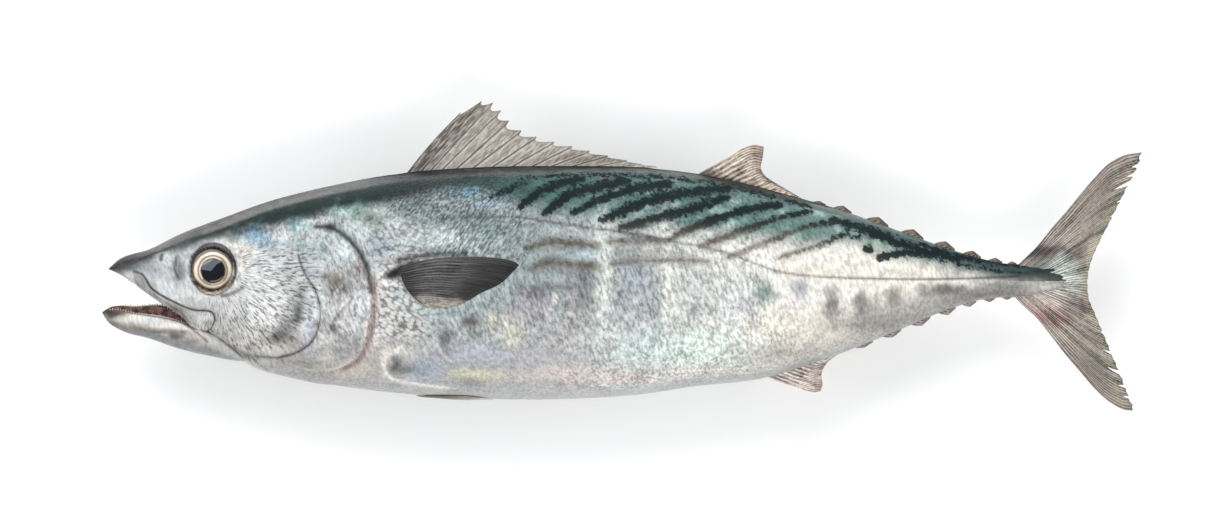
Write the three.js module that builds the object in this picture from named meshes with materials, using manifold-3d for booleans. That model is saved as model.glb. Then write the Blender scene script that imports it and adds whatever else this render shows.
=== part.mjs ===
// A whole raw little tuna, as landed: one firm fish that lies on its right flank with its mouth open.
// Millimetres, +Z up. The fish lies along X with its head at -X and its back towards +Y.
// The origin is the middle of the flank's flattened patch, which is the face that the fish rests on.
import * as THREE from "three";
import { mergeVertices } from "three/addons/utils/BufferGeometryUtils.js";
import Module from "manifold-3d";

const wasm = await Module();
wasm.setup();

// ---- Driving dimensions ----
const LENGTH = 600; // tip of the lower jaw to the tips of the tail
const DEPTH = 134; // back to belly at the deepest place, without the fins
const THICKNESS = 95; // flank to flank at the widest place
const FLATTENED = 2; // how far the fish's own weight presses the lower flank flat
const GAP = 0.3; // clearance between pieces that touch
const MIDDLE = THICKNESS / 2 - FLATTENED; // height of the fish's plane of symmetry above the table
const ORIGIN_SHARE = 0.43; // how far along the fish the origin lies

const EYE = { share: 0.108, height: 8, radius: 12.4, depth: 9, proud: 1.6 };
// A flank plate reaches in to the share `inner` of the fish's half width.
const GILL_COVER = { thickness: 1.7, proud: 0.9, inner: 0.3 };
const MAXILLA = { thickness: 1.5, proud: 1.1, inner: 0.74 };
const PECTORAL = { thickness: 1.5, proudOnTop: 1.3, proudBelow: 0, inner: 0.3 };
const PELVIC = { from: 0.302, length: 44, width: 9, thickness: 1.4, apart: 2.4 };
const JAW_WALL = 3; // thickness of the lower jaw's floor
const PALATE = 8; // how far the roof of the mouth arches above the upper lip
// The keel stands `height` out of each side of the tail stem and fades over `spread` radians of its ring.
const KEEL = { height: 3.4, from: 0.8, spread: 0.3 };
// The skin between two spines dips by `scallop`, at the share `dip` of the way from tip to tip.
const FIRST_DORSAL = { from: 0.291, to: 0.515, thickness: 2.4, spines: 14, scallop: 2.2, dip: 0.45, tail: 7 };
const SECOND_DORSAL = { thickness: 2.4 };
const ANAL = { thickness: 2.2 };
const CAUDAL = { root: 4.4, tip: 1.2, thinFrom: 0.88, thinTo: 1 };
const FINLET = { thickness: 1.4 };
const DORSAL_FINLETS = 8;
const ANAL_FINLETS = 7;
const FIN_ROOT = 3; // how deep a fin's outline runs inside the fish before the fish is cut out of it
const FIN_TIP = 0.4; // a fin's thickness at its tip, as a share of its thickness at the root

// ---- How finely the round shapes are divided ----
const BODY_FACETS = { around: 36, along: 56 };
const JAW_FACETS = { around: 24, along: 20 };
const EYE_FACETS = { around: 22, along: 12 };
const PLATE_STEPS = 26; // steps round a plate's outline
const CROWDING = 0.6; // how much closer together the rings stand towards the two ends: 0 is even

// ---- Curves: x is a share of LENGTH, heights are a share of DEPTH and widths of THICKNESS ----
const curve = (points) => {
  const spline = new THREE.CubicInterpolant(
    points.map(([x]) => x),
    points.map(([, y]) => y),
    1,
  );
  return (x) => spline.evaluate(x)[0];
};
const scaled = (points, scale) => {
  const at = curve(points);
  return (x) => at(x) * scale;
};

const SNOUT = 0.006;
const STEM_END = 0.929; // where the tail stem ends inside the tail fin
const back = scaled(
  [[SNOUT, 0.06], [0.017, 0.103], [0.046, 0.146], [0.075, 0.21], [0.118, 0.283], [0.161, 0.352],
    [0.219, 0.417], [0.276, 0.464], [0.36, 0.494], [0.44, 0.5], [0.52, 0.494], [0.57, 0.47],
    [0.62, 0.424], [0.67, 0.364], [0.708, 0.315], [0.766, 0.222], [0.823, 0.132], [0.866, 0.084],
    [0.9, 0.078], [0.92, 0.056], [STEM_END, 0.01]],
  DEPTH,
);
const belly = scaled(
  [[SNOUT, 0.06], [0.017, 0.037], [0.033, -0.007], [0.059, -0.089], [0.078, -0.142], [0.097, -0.2],
    [0.117, -0.27], [0.133, -0.328], [0.15, -0.37], [0.19, -0.413], [0.248, -0.455], [0.305, -0.481],
    [0.38, -0.499], [0.435, -0.5], [0.521, -0.477], [0.564, -0.447], [0.636, -0.408], [0.675, -0.355],
    [0.708, -0.305], [0.766, -0.2], [0.8, -0.135], [0.838, -0.078], [0.866, -0.062], [0.9, -0.064],
    [0.92, -0.04], [STEM_END, 0.01]],
  DEPTH,
);
const halfWidth = scaled(
  [[SNOUT, 0], [0.017, 0.047], [0.033, 0.09], [0.058, 0.147], [0.083, 0.2], [0.108, 0.247],
    [0.142, 0.3], [0.183, 0.358], [0.233, 0.416], [0.292, 0.463], [0.358, 0.494], [0.42, 0.5],
    [0.517, 0.468], [0.6, 0.4], [0.667, 0.321], [0.733, 0.226], [0.79, 0.142], [0.833, 0.093],
    [0.866, 0.07], [0.9, 0.05], [0.92, 0.028], [STEM_END, 0]],
  THICKNESS,
);
const mouthOpen = curve([[SNOUT, 0], [0.03, 1], [0.09, 1], [0.112, 0.45], [0.13, 0], [1, 0]]);
const keelHeight = curve([[KEEL.from, 0], [0.86, 0.8], [0.885, 1], [0.915, 0.3], [STEM_END, 0]]);

const JAW_END = 0.14; // where the lower jaw ends under the cheek
const lip = scaled(
  [[0, -0.124], [0.01, -0.114], [0.033, -0.131], [0.058, -0.146], [0.078, -0.168], [0.093, -0.212],
    [0.11, -0.272], [0.127, -0.325], [JAW_END, -0.352]],
  DEPTH,
);
const chin = scaled(
  [[0, -0.124], [0.003, -0.152], [0.017, -0.201], [0.046, -0.24], [0.075, -0.284], [0.104, -0.314],
    [0.127, -0.338], [JAW_END, -0.352]],
  DEPTH,
);
const jawHalfWidth = scaled(
  [[0, 0], [0.007, 0.034], [0.02, 0.058], [0.033, 0.08], [0.058, 0.121], [0.083, 0.156],
    [0.1, 0.172], [0.117, 0.16], [0.133, 0.1], [JAW_END, 0]],
  THICKNESS,
);
const jawOpen = curve([[0, 0], [0.012, 0.8], [0.03, 1], [0.1, 1], [0.125, 0.4], [JAW_END, 0]]);

const xAt = (share) => (share - ORIGIN_SHARE) * LENGTH;
const shareAt = (x) => x / LENGTH + ORIGIN_SHARE;

// ---- Solids ----
const solidFrom = (geometry) => {
  const bare = geometry.clone();
  bare.deleteAttribute("normal");
  bare.deleteAttribute("uv");
  const merged = mergeVertices(bare, 1e-4);
  const mesh = new wasm.Mesh({
    numProp: 3,
    vertProperties: merged.getAttribute("position").array,
    triVerts: new Uint32Array(merged.index.array),
  });
  return new wasm.Manifold(mesh);
};

const geometryFrom = (solid) => {
  const mesh = solid.getMesh();
  return new THREE.BufferGeometry()
    .setAttribute("position", new THREE.BufferAttribute(mesh.vertProperties, 3))
    .setIndex(new THREE.BufferAttribute(mesh.triVerts, 1))
    .toNonIndexed();
};

// One point of a ring round the fish. The ring is closed over `closed` and may be hollow on the other side,
// where its lip stands in from the full width and the hollow runs up between the lips.
const LIP_INSET = 0.7; // the lip's share of the half width
const HOLLOW_TURN = 0.42; // the share of the open quarter that the hollow takes
const JAW_MIDDLE = 0.3; // where the lower jaw is widest, as a share of the way from its rim to its chin
const ringPoint = (angle, { width, lipWidth, closed, open, hollow, amount }) => {
  const turn = Math.abs(angle) / (Math.PI / 2);
  const side = Math.sign(angle);
  if (turn <= 1) return [side * width * Math.sin(Math.abs(angle)), closed * Math.cos(angle)];
  const flankTurn = 1 - HOLLOW_TURN * amount;
  const quarter = turn - 1;
  if (quarter <= flankTurn) {
    const a = (quarter / flankTurn) * (Math.PI / 2);
    return [side * (lipWidth + (width - lipWidth) * Math.cos(a)), -open * Math.sin(a)];
  }
  const b = ((quarter - flankTurn) / (1 - flankTurn)) * (Math.PI / 2);
  return [side * lipWidth * Math.cos(b), -open + hollow * amount * Math.sin(b)];
};

// Draws a sphere out along the fish, from share `from` to share `to`, so that its rings become the fish's.
const drawnOut = ({ from, to, facets, extra, ring }) => {
  const sphere = new THREE.SphereGeometry(1, facets.around, facets.along);
  const position = sphere.getAttribute("position");
  const point = new THREE.Vector3();
  for (let i = 0; i < position.count; i += 1) {
    point.fromBufferAttribute(position, i);
    const t = Math.acos(THREE.MathUtils.clamp(point.y, -1, 1)) / Math.PI;
    const eased = t - (CROWDING * Math.sin(2 * Math.PI * t)) / (2 * Math.PI);
    const share = THREE.MathUtils.lerp(from, to, eased);
    const [z, y] = ring(share, Math.atan2(point.z, point.x));
    if (t === 0 || t === 1) {
      const [, opposite] = ring(share, Math.PI);
      const [, near] = ring(share, 0);
      position.setXYZ(i, xAt(share) + (t === 0 ? -extra : extra), (near + opposite) / 2, 0);
    } else {
      position.setXYZ(i, xAt(share), y, z);
    }
  }
  return solidFrom(sphere);
};

// The fish without its fins, its surface moved out by `extra`.
const bodySolid = (extra = 0) => {
  const loft = drawnOut({
    from: SNOUT,
    to: STEM_END,
    facets: BODY_FACETS,
    extra,
    ring: (share, angle) => {
      const [top, bottom] = [back(share), belly(share)];
      const middle = (top + bottom) / 2;
      const amount = THREE.MathUtils.clamp(mouthOpen(share), 0, 1);
      const [z, y] = ringPoint(angle, {
        width: halfWidth(share) + extra,
        lipWidth: halfWidth(share) * LIP_INSET * amount,
        closed: top - middle + extra,
        open: middle - bottom + extra,
        hollow: PALATE,
        amount,
      });
      const keel = share < KEEL.from ? 0 : KEEL.height * keelHeight(share);
      const ridge = Math.exp(-(((Math.abs(angle) - Math.PI / 2) / KEEL.spread) ** 2));
      return [z + Math.sign(z) * keel * ridge, middle + y];
    },
  });
  const half = LENGTH;
  const slab = new THREE.BoxGeometry(2 * half, 2 * half, half);
  slab.translate(0, 0, half / 2 - MIDDLE - extra);
  return loft.intersect(solidFrom(slab));
};

const jawSolid = (extra = 0) =>
  drawnOut({
    from: 0,
    to: JAW_END,
    facets: JAW_FACETS,
    extra,
    ring: (share, angle) => {
      const [rim, bottom] = [lip(share), chin(share)];
      const middle = THREE.MathUtils.lerp(rim, bottom, JAW_MIDDLE);
      const amount = THREE.MathUtils.clamp(jawOpen(share), 0, 1);
      const [z, y] = ringPoint(-angle, {
        width: jawHalfWidth(share) + extra,
        lipWidth: jawHalfWidth(share) * LIP_INSET * amount,
        closed: middle - bottom + extra,
        open: rim - middle + extra,
        hollow: Math.max(0, rim - bottom - JAW_WALL),
        amount,
      });
      return [z, middle - y];
    },
  });

// A prism along Z over an outline of THREE.Vector2 points, from z `low` to z `high`.
const prism = (points, low, high) => {
  const geometry = new THREE.ExtrudeGeometry(new THREE.Shape(points), {
    depth: high - low,
    bevelEnabled: false,
  });
  return solidFrom(geometry.translate(0, 0, low));
};

const smooth = (points, steps) =>
  new THREE.SplineCurve(points.map(([x, y]) => new THREE.Vector2(x, y))).getPoints(steps);

// An outline in shares of length and depth, as points in millimetres.
const placed = (points) => points.map(([share, height]) => [xAt(share), height * DEPTH]);

// Moves a closed outline's edges outwards by `by`. A sharp corner moves further, up to a limit.
const SHARPEST = 0.2;
const grown = (points, by) => {
  const turnsLeft = THREE.ShapeUtils.area(points) > 0 ? 1 : -1;
  const outward = (from, to) => {
    const along = to.clone().sub(from).normalize();
    return new THREE.Vector2(along.y * turnsLeft, -along.x * turnsLeft);
  };
  return points.map((point, i) => {
    const before = outward(points[(i + points.length - 1) % points.length], point);
    const after = outward(point, points[(i + 1) % points.length]);
    const mitre = by / Math.max(1 + before.dot(after), SHARPEST);
    return point.clone().addScaledVector(before.add(after), mitre);
  });
};

// ---- The fish's outlines, as shares of length and depth ----
const GILL_COVER_REAR = placed(
  [[0.207, 0.242], [0.221, 0.237], [0.237, 0.192], [0.249, 0.129], [0.256, 0.064], [0.26, -0.034],
    [0.26, -0.107], [0.257, -0.181], [0.253, -0.251], [0.247, -0.313], [0.231, -0.36], [0.214, -0.38],
    [0.19, -0.366], [0.17, -0.32]],
);
const GILL_COVER_FRONT = placed(
  [[0.17, -0.32], [0.19, -0.293], [0.2025, -0.251], [0.2097, -0.179], [0.2107, -0.107],
    [0.2067, -0.034], [0.1965, 0.039], [0.19, 0.12], [0.195, 0.206], [0.207, 0.242]],
);
const MAXILLA_OUTLINE = placed(
  [[0.03, 0.05], [0.039, 0.038], [0.049, -0.026], [0.069, -0.08], [0.089, -0.116], [0.1075, -0.129],
    [0.1097, -0.161], [0.1055, -0.198], [0.0975, -0.213], [0.0873, -0.19], [0.0775, -0.146],
    [0.06, -0.094], [0.044, -0.045], [0.034, -0.01]],
);
const PECTORAL_OUTLINE = placed(
  [[0.287, 0.07], [0.317, 0.104], [0.352, 0.113], [0.377, 0.108], [0.397, 0.09], [0.401, 0.077],
    [0.383, -0.002], [0.364, -0.043], [0.352, -0.076], [0.337, -0.099], [0.314, -0.107],
    [0.3, -0.06], [0.29, 0.01]],
);
const TAIL_UPPER = placed(
  [[0.874, 0.05], [0.882, 0.09], [0.896, 0.15], [0.91, 0.228], [0.925, 0.305], [0.939, 0.382],
    [0.953, 0.455], [0.967, 0.516], [0.982, 0.55], [0.9985, 0.562]],
);
const TAIL_TRAILING = placed(
  [[0.9985, 0.562], [0.996, 0.52], [0.982, 0.391], [0.967, 0.258], [0.953, 0.133], [0.9475, 0.06],
    [0.946, 0.002], [0.9475, -0.07], [0.953, -0.129], [0.967, -0.279], [0.982, -0.438],
    [0.9915, -0.548]],
);
const TAIL_LOWER = placed(
  [[0.9915, -0.548], [0.982, -0.546], [0.967, -0.511], [0.953, -0.455], [0.939, -0.382],
    [0.925, -0.309], [0.91, -0.223], [0.896, -0.146], [0.882, -0.09], [0.874, -0.05]],
);

// Outlines of the fins on an edge of the fish: share of length, and millimetres out from that edge.
const SECOND_DORSAL_EDGE = [[0.569, -0.6], [0.598, 12.5], [0.6245, 23.4], [0.6353, 24], [0.6343, 18.5],
  [0.6325, 10.5], [0.6365, 7.4], [0.648, 4.6], [0.66, 2.4], [0.676, -0.6]];
const ANAL_EDGE = [[0.635, -0.6], [0.66, 9], [0.6837, 17.2], [0.6895, 17.6], [0.6915, 14.3],
  [0.6905, 8], [0.695, 3.1], [0.708, -0.6]];

// ---- Pieces ----
const skin = new THREE.MeshStandardMaterial({ color: 0xa9b1b0, roughness: 0.32, metalness: 0.45 });
const finSkin = new THREE.MeshStandardMaterial({ color: 0x7d746a, roughness: 0.5, metalness: 0.05 });
const eyeball = new THREE.MeshStandardMaterial({ color: 0x23262b, roughness: 0.1, metalness: 0.1 });

const fish = new THREE.Group();
fish.position.z = MIDDLE;
const add = (name, solid, material) => {
  const mesh = new THREE.Mesh(geometryFrom(solid), material);
  mesh.name = name;
  fish.add(mesh);
};

const clearOfBody = bodySolid(GAP);
const SIDES = [["left", 1], ["right", -1]];
const pockets = [];

const PLAN_STEP = 0.01; // share of the length between two points of a plan
// The space beside one flank: in plan, what lies outside the share `inner` of the half width, less `extra`.
const beside = (side, inner, extra) => {
  const plan = [new THREE.Vector2(xAt(STEM_END), THICKNESS), new THREE.Vector2(xAt(0), THICKNESS)];
  for (let share = 0; share < STEM_END; share += PLAN_STEP) {
    plan.push(new THREE.Vector2(xAt(share), inner * halfWidth(Math.max(share, SNOUT)) - extra));
  }
  const shape = new THREE.Shape(plan);
  const geometry = new THREE.ExtrudeGeometry(shape, { depth: 2 * DEPTH, bevelEnabled: false });
  geometry.rotateX(Math.PI / 2).translate(0, DEPTH, 0);
  const solid = solidFrom(geometry);
  return side > 0 ? solid : solid.mirror([0, 0, 1]);
};

// A prism over an outline, on one side of the fish.
const reach = (side, points) => (side > 0 ? prism(points, 0, THICKNESS) : prism(points, -THICKNESS, 0));

// A plate that follows the skin of one flank. Its pocket in the body leaves GAP round it.
const onFlank = (side, outline, { thickness, proud, inner }) => {
  const inside = proud - thickness;
  const room = reach(side, grown(outline, GAP)).intersect(beside(side, inner, GAP));
  pockets.push(room.subtract(bodySolid(inside - GAP)));
  const plate = reach(side, outline).intersect(beside(side, inner, 0));
  return plate.intersect(bodySolid(proud)).subtract(bodySolid(inside));
};

const eyeSolid = (side, extra) => {
  const centre = halfWidth(EYE.share) + EYE.proud - EYE.depth;
  const ball = new THREE.SphereGeometry(1, EYE_FACETS.around, EYE_FACETS.along);
  ball.rotateX(Math.PI / 2);
  ball.scale(EYE.radius + extra, EYE.radius + extra, EYE.depth + extra);
  return solidFrom(ball.translate(xAt(EYE.share), EYE.height, side * centre));
};

const gillCoverOutline = [
  ...smooth(GILL_COVER_REAR, PLATE_STEPS),
  ...smooth(GILL_COVER_FRONT, PLATE_STEPS).slice(1, -1),
];
const closedOutline = (points) => smooth([...points, points[0]], PLATE_STEPS).slice(0, -1);
const pectoralOutline = closedOutline(PECTORAL_OUTLINE);
const maxillaOutline = closedOutline(MAXILLA_OUTLINE);

for (const [word, side] of SIDES) {
  add(`${word}_eye`, eyeSolid(side, 0), eyeball);
  pockets.push(eyeSolid(side, GAP));
  add(`${word}_gill_cover`, onFlank(side, gillCoverOutline, GILL_COVER), skin);
  add(`${word}_maxilla`, onFlank(side, maxillaOutline, MAXILLA), skin);
  const proud = side > 0 ? PECTORAL.proudOnTop : PECTORAL.proudBelow;
  add(`${word}_pectoral_fin`, onFlank(side, pectoralOutline, { ...PECTORAL, proud }), finSkin);
}

// The pelvic fins lie folded against the belly, one each side of its middle.
const pelvicSolid = (side) => {
  const start = xAt(PELVIC.from);
  const outline = smooth(
    [[start, 0], [start + PELVIC.length * 0.3, PELVIC.width * 0.75],
      [start + PELVIC.length * 0.7, PELVIC.width], [start + PELVIC.length, PELVIC.width * 0.35],
      [start + PELVIC.length * 0.5, 0]],
    16,
  );
  const plan = new THREE.ExtrudeGeometry(new THREE.Shape(outline), { depth: DEPTH, bevelEnabled: false });
  plan.rotateX(Math.PI / 2).translate(0, 0, PELVIC.apart / 2);
  const shell = bodySolid(GAP + PELVIC.thickness).subtract(clearOfBody);
  const left = solidFrom(plan).intersect(shell);
  return side > 0 ? left : left.mirror([0, 0, 1]);
};
for (const [word, side] of SIDES) add(`${word}_pelvic_fin`, pelvicSolid(side), finSkin);

add("body", pockets.reduce((body, pocket) => body.subtract(pocket), bodySolid()), skin);

const maxillaRoom = SIDES.map(([, side]) =>
  reach(side, grown(maxillaOutline, GAP)).intersect(bodySolid(MAXILLA.proud + GAP)),
);
const lowerJaw = maxillaRoom.reduce((jaw, room) => jaw.subtract(room), jawSolid().subtract(clearOfBody));
add("lower_jaw", lowerJaw, skin);

// A fin in the fish's plane of symmetry.
// Its thickness falls from `root` to `tip` as `outward` goes from 0 to 1.
const finSolid = (outline, root, tip, outward) => {
  const geometry = new THREE.ExtrudeGeometry(new THREE.Shape(outline), { depth: 1, bevelEnabled: false });
  geometry.translate(0, 0, -0.5);
  const position = geometry.getAttribute("position");
  for (let i = 0; i < position.count; i += 1) {
    const share = THREE.MathUtils.clamp(outward(position.getX(i), position.getY(i)), 0, 1);
    position.setZ(i, position.getZ(i) * THREE.MathUtils.lerp(root, tip, share));
  }
  return solidFrom(geometry).subtract(clearOfBody);
};

// A fin on an edge of the fish, `out` being 1 on the back and -1 on the belly.
const edgeFin = (edge, out, points, steps, thickness) => {
  const tallest = Math.max(...points.map(([, height]) => height));
  const rim = smooth(
    points.map(([share, height]) => [xAt(share), edge(share) + out * height]),
    steps,
  );
  const first = rim[0];
  const last = rim[rim.length - 1];
  const root = [last, first].map((p) => new THREE.Vector2(p.x, p.y - out * FIN_ROOT));
  return finSolid([...rim, ...root], thickness, thickness * FIN_TIP, (x, y) => {
    return (out * (y - edge(shareAt(x)))) / tallest;
  });
};

// The first dorsal fin: spines that get shorter and lie further back, and a skin that dips between them.
const spineLength = curve([[0, 48], [1, 57], [3, 46], [5, 32], [8, 24.5], [11, 17.5], [13, 9]]);
const spineLean = curve([[0, 47], [4, 42], [8, 30], [11, 19], [13, 6]]);
const spineTip = (i) => {
  const share = THREE.MathUtils.lerp(FIRST_DORSAL.from, FIRST_DORSAL.to, i / (FIRST_DORSAL.spines - 1));
  const lean = THREE.MathUtils.degToRad(spineLean(i));
  return new THREE.Vector2(
    xAt(share) + spineLength(i) * Math.cos(lean),
    back(share) + spineLength(i) * Math.sin(lean),
  );
};
const firstDorsalOutline = () => {
  const points = [new THREE.Vector2(xAt(FIRST_DORSAL.from), back(FIRST_DORSAL.from))];
  for (let i = 0; i < FIRST_DORSAL.spines; i += 1) {
    const tip = spineTip(i);
    points.push(tip);
    if (i === FIRST_DORSAL.spines - 1) break;
    const next = spineTip(i + 1);
    const dip = tip.clone().lerp(next, FIRST_DORSAL.dip);
    const inwards = next.clone().sub(tip).normalize();
    points.push(new THREE.Vector2(dip.x + inwards.y * FIRST_DORSAL.scallop,
      dip.y - inwards.x * FIRST_DORSAL.scallop));
  }
  const end = FIRST_DORSAL.to + FIRST_DORSAL.tail / LENGTH;
  points.push(new THREE.Vector2(xAt(end), back(end)));
  points.push(new THREE.Vector2(xAt(end), back(end) - FIN_ROOT));
  points.push(new THREE.Vector2(xAt(FIRST_DORSAL.from), back(FIRST_DORSAL.from) - FIN_ROOT));
  return points;
};
const tallestSpine = spineLength(1);
add(
  "first_dorsal_fin",
  finSolid(firstDorsalOutline(), FIRST_DORSAL.thickness, FIRST_DORSAL.thickness * FIN_TIP, (x, y) =>
    (y - back(shareAt(x))) / tallestSpine),
  finSkin,
);
add("second_dorsal_fin", edgeFin(back, 1, SECOND_DORSAL_EDGE, 22, SECOND_DORSAL.thickness), finSkin);
add("anal_fin", edgeFin(belly, -1, ANAL_EDGE, 18, ANAL.thickness), finSkin);

// Finlets: small triangles along the back and the belly, smaller and closer together towards the tail.
// `start` and `length` are shares of the fish's length, and `height` is in millimetres.
const finletRow = (name, edge, out, count, start, length, height) => {
  for (let i = 0; i < count; i += 1) {
    const from = start(i);
    const long = length(i);
    const tall = height(i);
    const rim = [[from, -0.4], [from + long * 0.3, tall * 0.6], [from + long * 0.62, tall],
      [from + long * 0.82, tall * 0.62], [from + long, 0.5], [from + long * 0.96, -0.4]];
    add(`${name}_${i + 1}`, edgeFin(edge, out, rim, 8, FINLET.thickness), finSkin);
  }
};
finletRow(
  "dorsal_finlet", back, 1, DORSAL_FINLETS,
  curve([[0, 0.679], [1, 0.6985], [2, 0.73], [4, 0.7955], [6, 0.8475], [7, 0.866]]),
  curve([[0, 0.0158], [2, 0.025], [4, 0.0233], [6, 0.0167], [7, 0.0117]]),
  curve([[0, 1.6], [1, 3], [3, 4], [5, 3.2], [7, 1.6]]),
);
finletRow(
  "anal_finlet", belly, -1, ANAL_FINLETS,
  curve([[0, 0.7185], [1, 0.7455], [3, 0.8], [5, 0.843], [6, 0.861]]),
  curve([[0, 0.0217], [2, 0.0217], [4, 0.0167], [6, 0.0117]]),
  curve([[0, 2], [2, 3.4], [4, 2.6], [6, 1.6]]),
);

// The tail fin: two lobes joined behind the end of the tail stem.
const tailOutline = [
  ...smooth(TAIL_UPPER, 22),
  ...smooth(TAIL_TRAILING, 26).slice(1),
  ...smooth(TAIL_LOWER, 22).slice(1),
];
add(
  "caudal_fin",
  finSolid(tailOutline, CAUDAL.root, CAUDAL.tip, (x) =>
    (shareAt(x) - CAUDAL.thinFrom) / (CAUDAL.thinTo - CAUDAL.thinFrom)),
  finSkin,
);

export default fish;
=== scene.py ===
import bmesh
import bpy
import numpy as np
from mathutils import Matrix, Vector, noise


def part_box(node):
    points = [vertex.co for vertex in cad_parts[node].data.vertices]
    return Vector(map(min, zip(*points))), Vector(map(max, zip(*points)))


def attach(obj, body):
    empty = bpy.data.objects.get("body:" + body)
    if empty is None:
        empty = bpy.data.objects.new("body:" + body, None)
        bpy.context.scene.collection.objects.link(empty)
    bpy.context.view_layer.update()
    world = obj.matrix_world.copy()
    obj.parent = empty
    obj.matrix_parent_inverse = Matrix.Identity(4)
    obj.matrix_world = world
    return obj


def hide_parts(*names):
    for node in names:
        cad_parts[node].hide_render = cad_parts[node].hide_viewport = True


# A whole raw little tuna, lying on its right flank with its mouth open. Metres, +Z up, head towards -X and back
# towards +Y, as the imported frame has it.

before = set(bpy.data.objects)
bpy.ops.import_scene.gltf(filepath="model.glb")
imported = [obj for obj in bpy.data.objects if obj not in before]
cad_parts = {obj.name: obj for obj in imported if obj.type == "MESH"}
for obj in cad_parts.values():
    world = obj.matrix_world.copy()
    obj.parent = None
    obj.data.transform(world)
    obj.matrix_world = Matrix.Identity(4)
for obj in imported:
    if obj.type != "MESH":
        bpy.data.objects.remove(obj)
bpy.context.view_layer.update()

# ---- Table, light and camera ----
# A pale table under soft studio light. The fish is looked at from straight above its left flank.
TABLE_SIZE = 12.0
TABLE_COLOUR, TABLE_FLECK = (0.975, 0.975, 0.975, 1), (0.99, 0.99, 0.99, 1)
CAMERA_OVER = (0.0357, 0.0135)
CAMERA_LENS = 0.3
SENSOR = 0.036
VIEW_WIDTH = 0.7048  # how much of the fish's plane of symmetry the view takes in, from side to side
SKY = (0.955, 0.975, 1, 1)
SKY_FADE = (0.08, 0.6, 0.85, 0.33)  # between these heights the sky's light falls, from this strength to this
MIDDLE = (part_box("caudal_fin")[0].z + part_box("caudal_fin")[1].z) / 2  # height of that plane above the table


def new_material(name, **finish):
    """An empty node material, with its shader and a short way to add a node and join it to others. `finish` gives
    the shader values that are the same all over."""
    material = bpy.data.materials.new(name)
    material.use_nodes = True
    tree = material.node_tree
    tree.nodes.clear()
    output = tree.nodes.new("ShaderNodeOutputMaterial")

    def add(kind, settings=None, **inputs):
        node = tree.nodes.new("ShaderNode" + kind)
        for key, value in (settings or {}).items():
            setattr(node, key, value)
        for key, value in inputs.items():
            numbered = key[0] == "i" and key[1:].isdigit()
            socket = node.inputs[int(key[1:]) if numbered else key.replace("_", " ")]
            if isinstance(value, bpy.types.NodeSocket):
                tree.links.new(value, socket)
            else:
                socket.default_value = value
        return node

    shader = add("BsdfPrincipled", **finish)
    tree.links.new(shader.outputs[0], output.inputs["Surface"])
    return shader, tree.links.new, add, add("TexCoord").outputs["Object"], material


def mixed(fraction, a, b, kind="MIX"):
    return add("Mix", {"data_type": "RGBA", "blend_type": kind}, i0=fraction, i6=a, i7=b).outputs[2]


def cloudy(scale, detail, where=None, **more):
    """Noise from 0 to 1 over a piece, or over a pattern's own places."""
    where = place if where is None else where
    return add("TexNoise", Vector=where, Scale=scale, Detail=detail, **more).outputs[0]


def object_from(bm, name, material):
    """A finished piece from a bmesh, with its place in its mesh."""
    mesh = bpy.data.meshes.new(name)
    bm.to_mesh(mesh)
    bm.free()
    mesh.shade_smooth()
    mesh.materials.append(material)
    piece = bpy.data.objects.new(name, mesh)
    bpy.context.scene.collection.objects.link(piece)
    return piece


shader, link, add, place, pale_table = new_material("pale_table", Roughness=0.7)
link(mixed(cloudy(60.0, 4.0), TABLE_COLOUR, TABLE_FLECK), shader.inputs["Base Color"])

bm = bmesh.new()
bmesh.ops.create_grid(bm, x_segments=1, y_segments=1, size=TABLE_SIZE / 2)
table = object_from(bm, "table", pale_table)

world = bpy.data.worlds.new("studio")
world.use_nodes = True
sky = world.node_tree
way = sky.nodes.new("ShaderNodeTexCoord")
apart = sky.nodes.new("ShaderNodeSeparateXYZ")
fade = sky.nodes.new("ShaderNodeMapRange")
fade.interpolation_type = "SMOOTHSTEP"
for k, value in enumerate(SKY_FADE, 1):
    fade.inputs[k].default_value = value
sky.links.new(way.outputs["Generated"], apart.inputs[0])
sky.links.new(apart.outputs["Z"], fade.inputs[0])
sky.links.new(fade.outputs[0], sky.nodes["Background"].inputs["Strength"])
sky.nodes["Background"].inputs["Color"].default_value = SKY
bpy.context.scene.world = world
bpy.context.scene.view_settings.view_transform = "Standard"

# name, place, width and power in watts
SOFTBOXES = (("softbox_back", (-0.3, 1.35, 1.3), 1.4, 25), ("softbox_belly", (0.2, -1.35, 1.3), 1.4, 20),
             ("softbox_head", (-1.6, 0.1, 1.2), 1.2, 8), ("softbox_tail", (1.6, 0.1, 1.2), 1.2, 7))
for name, spot, size, power in SOFTBOXES:
    lamp = bpy.data.lights.new(name, "AREA")
    lamp.size = size
    lamp.energy = power
    holder = bpy.data.objects.new(name, lamp)
    holder.location = spot
    holder.rotation_euler = (-Vector(spot)).to_track_quat("-Z", "Y").to_euler()
    bpy.context.scene.collection.objects.link(holder)

camera = bpy.data.objects.new("camera", bpy.data.cameras.new("camera"))
camera.data.lens = CAMERA_LENS * 1000
camera.data.sensor_width = SENSOR * 1000
camera.location = (*CAMERA_OVER, MIDDLE + VIEW_WIDTH * CAMERA_LENS / SENSOR)
bpy.context.scene.collection.objects.link(camera)
bpy.context.scene.camera = camera

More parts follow.
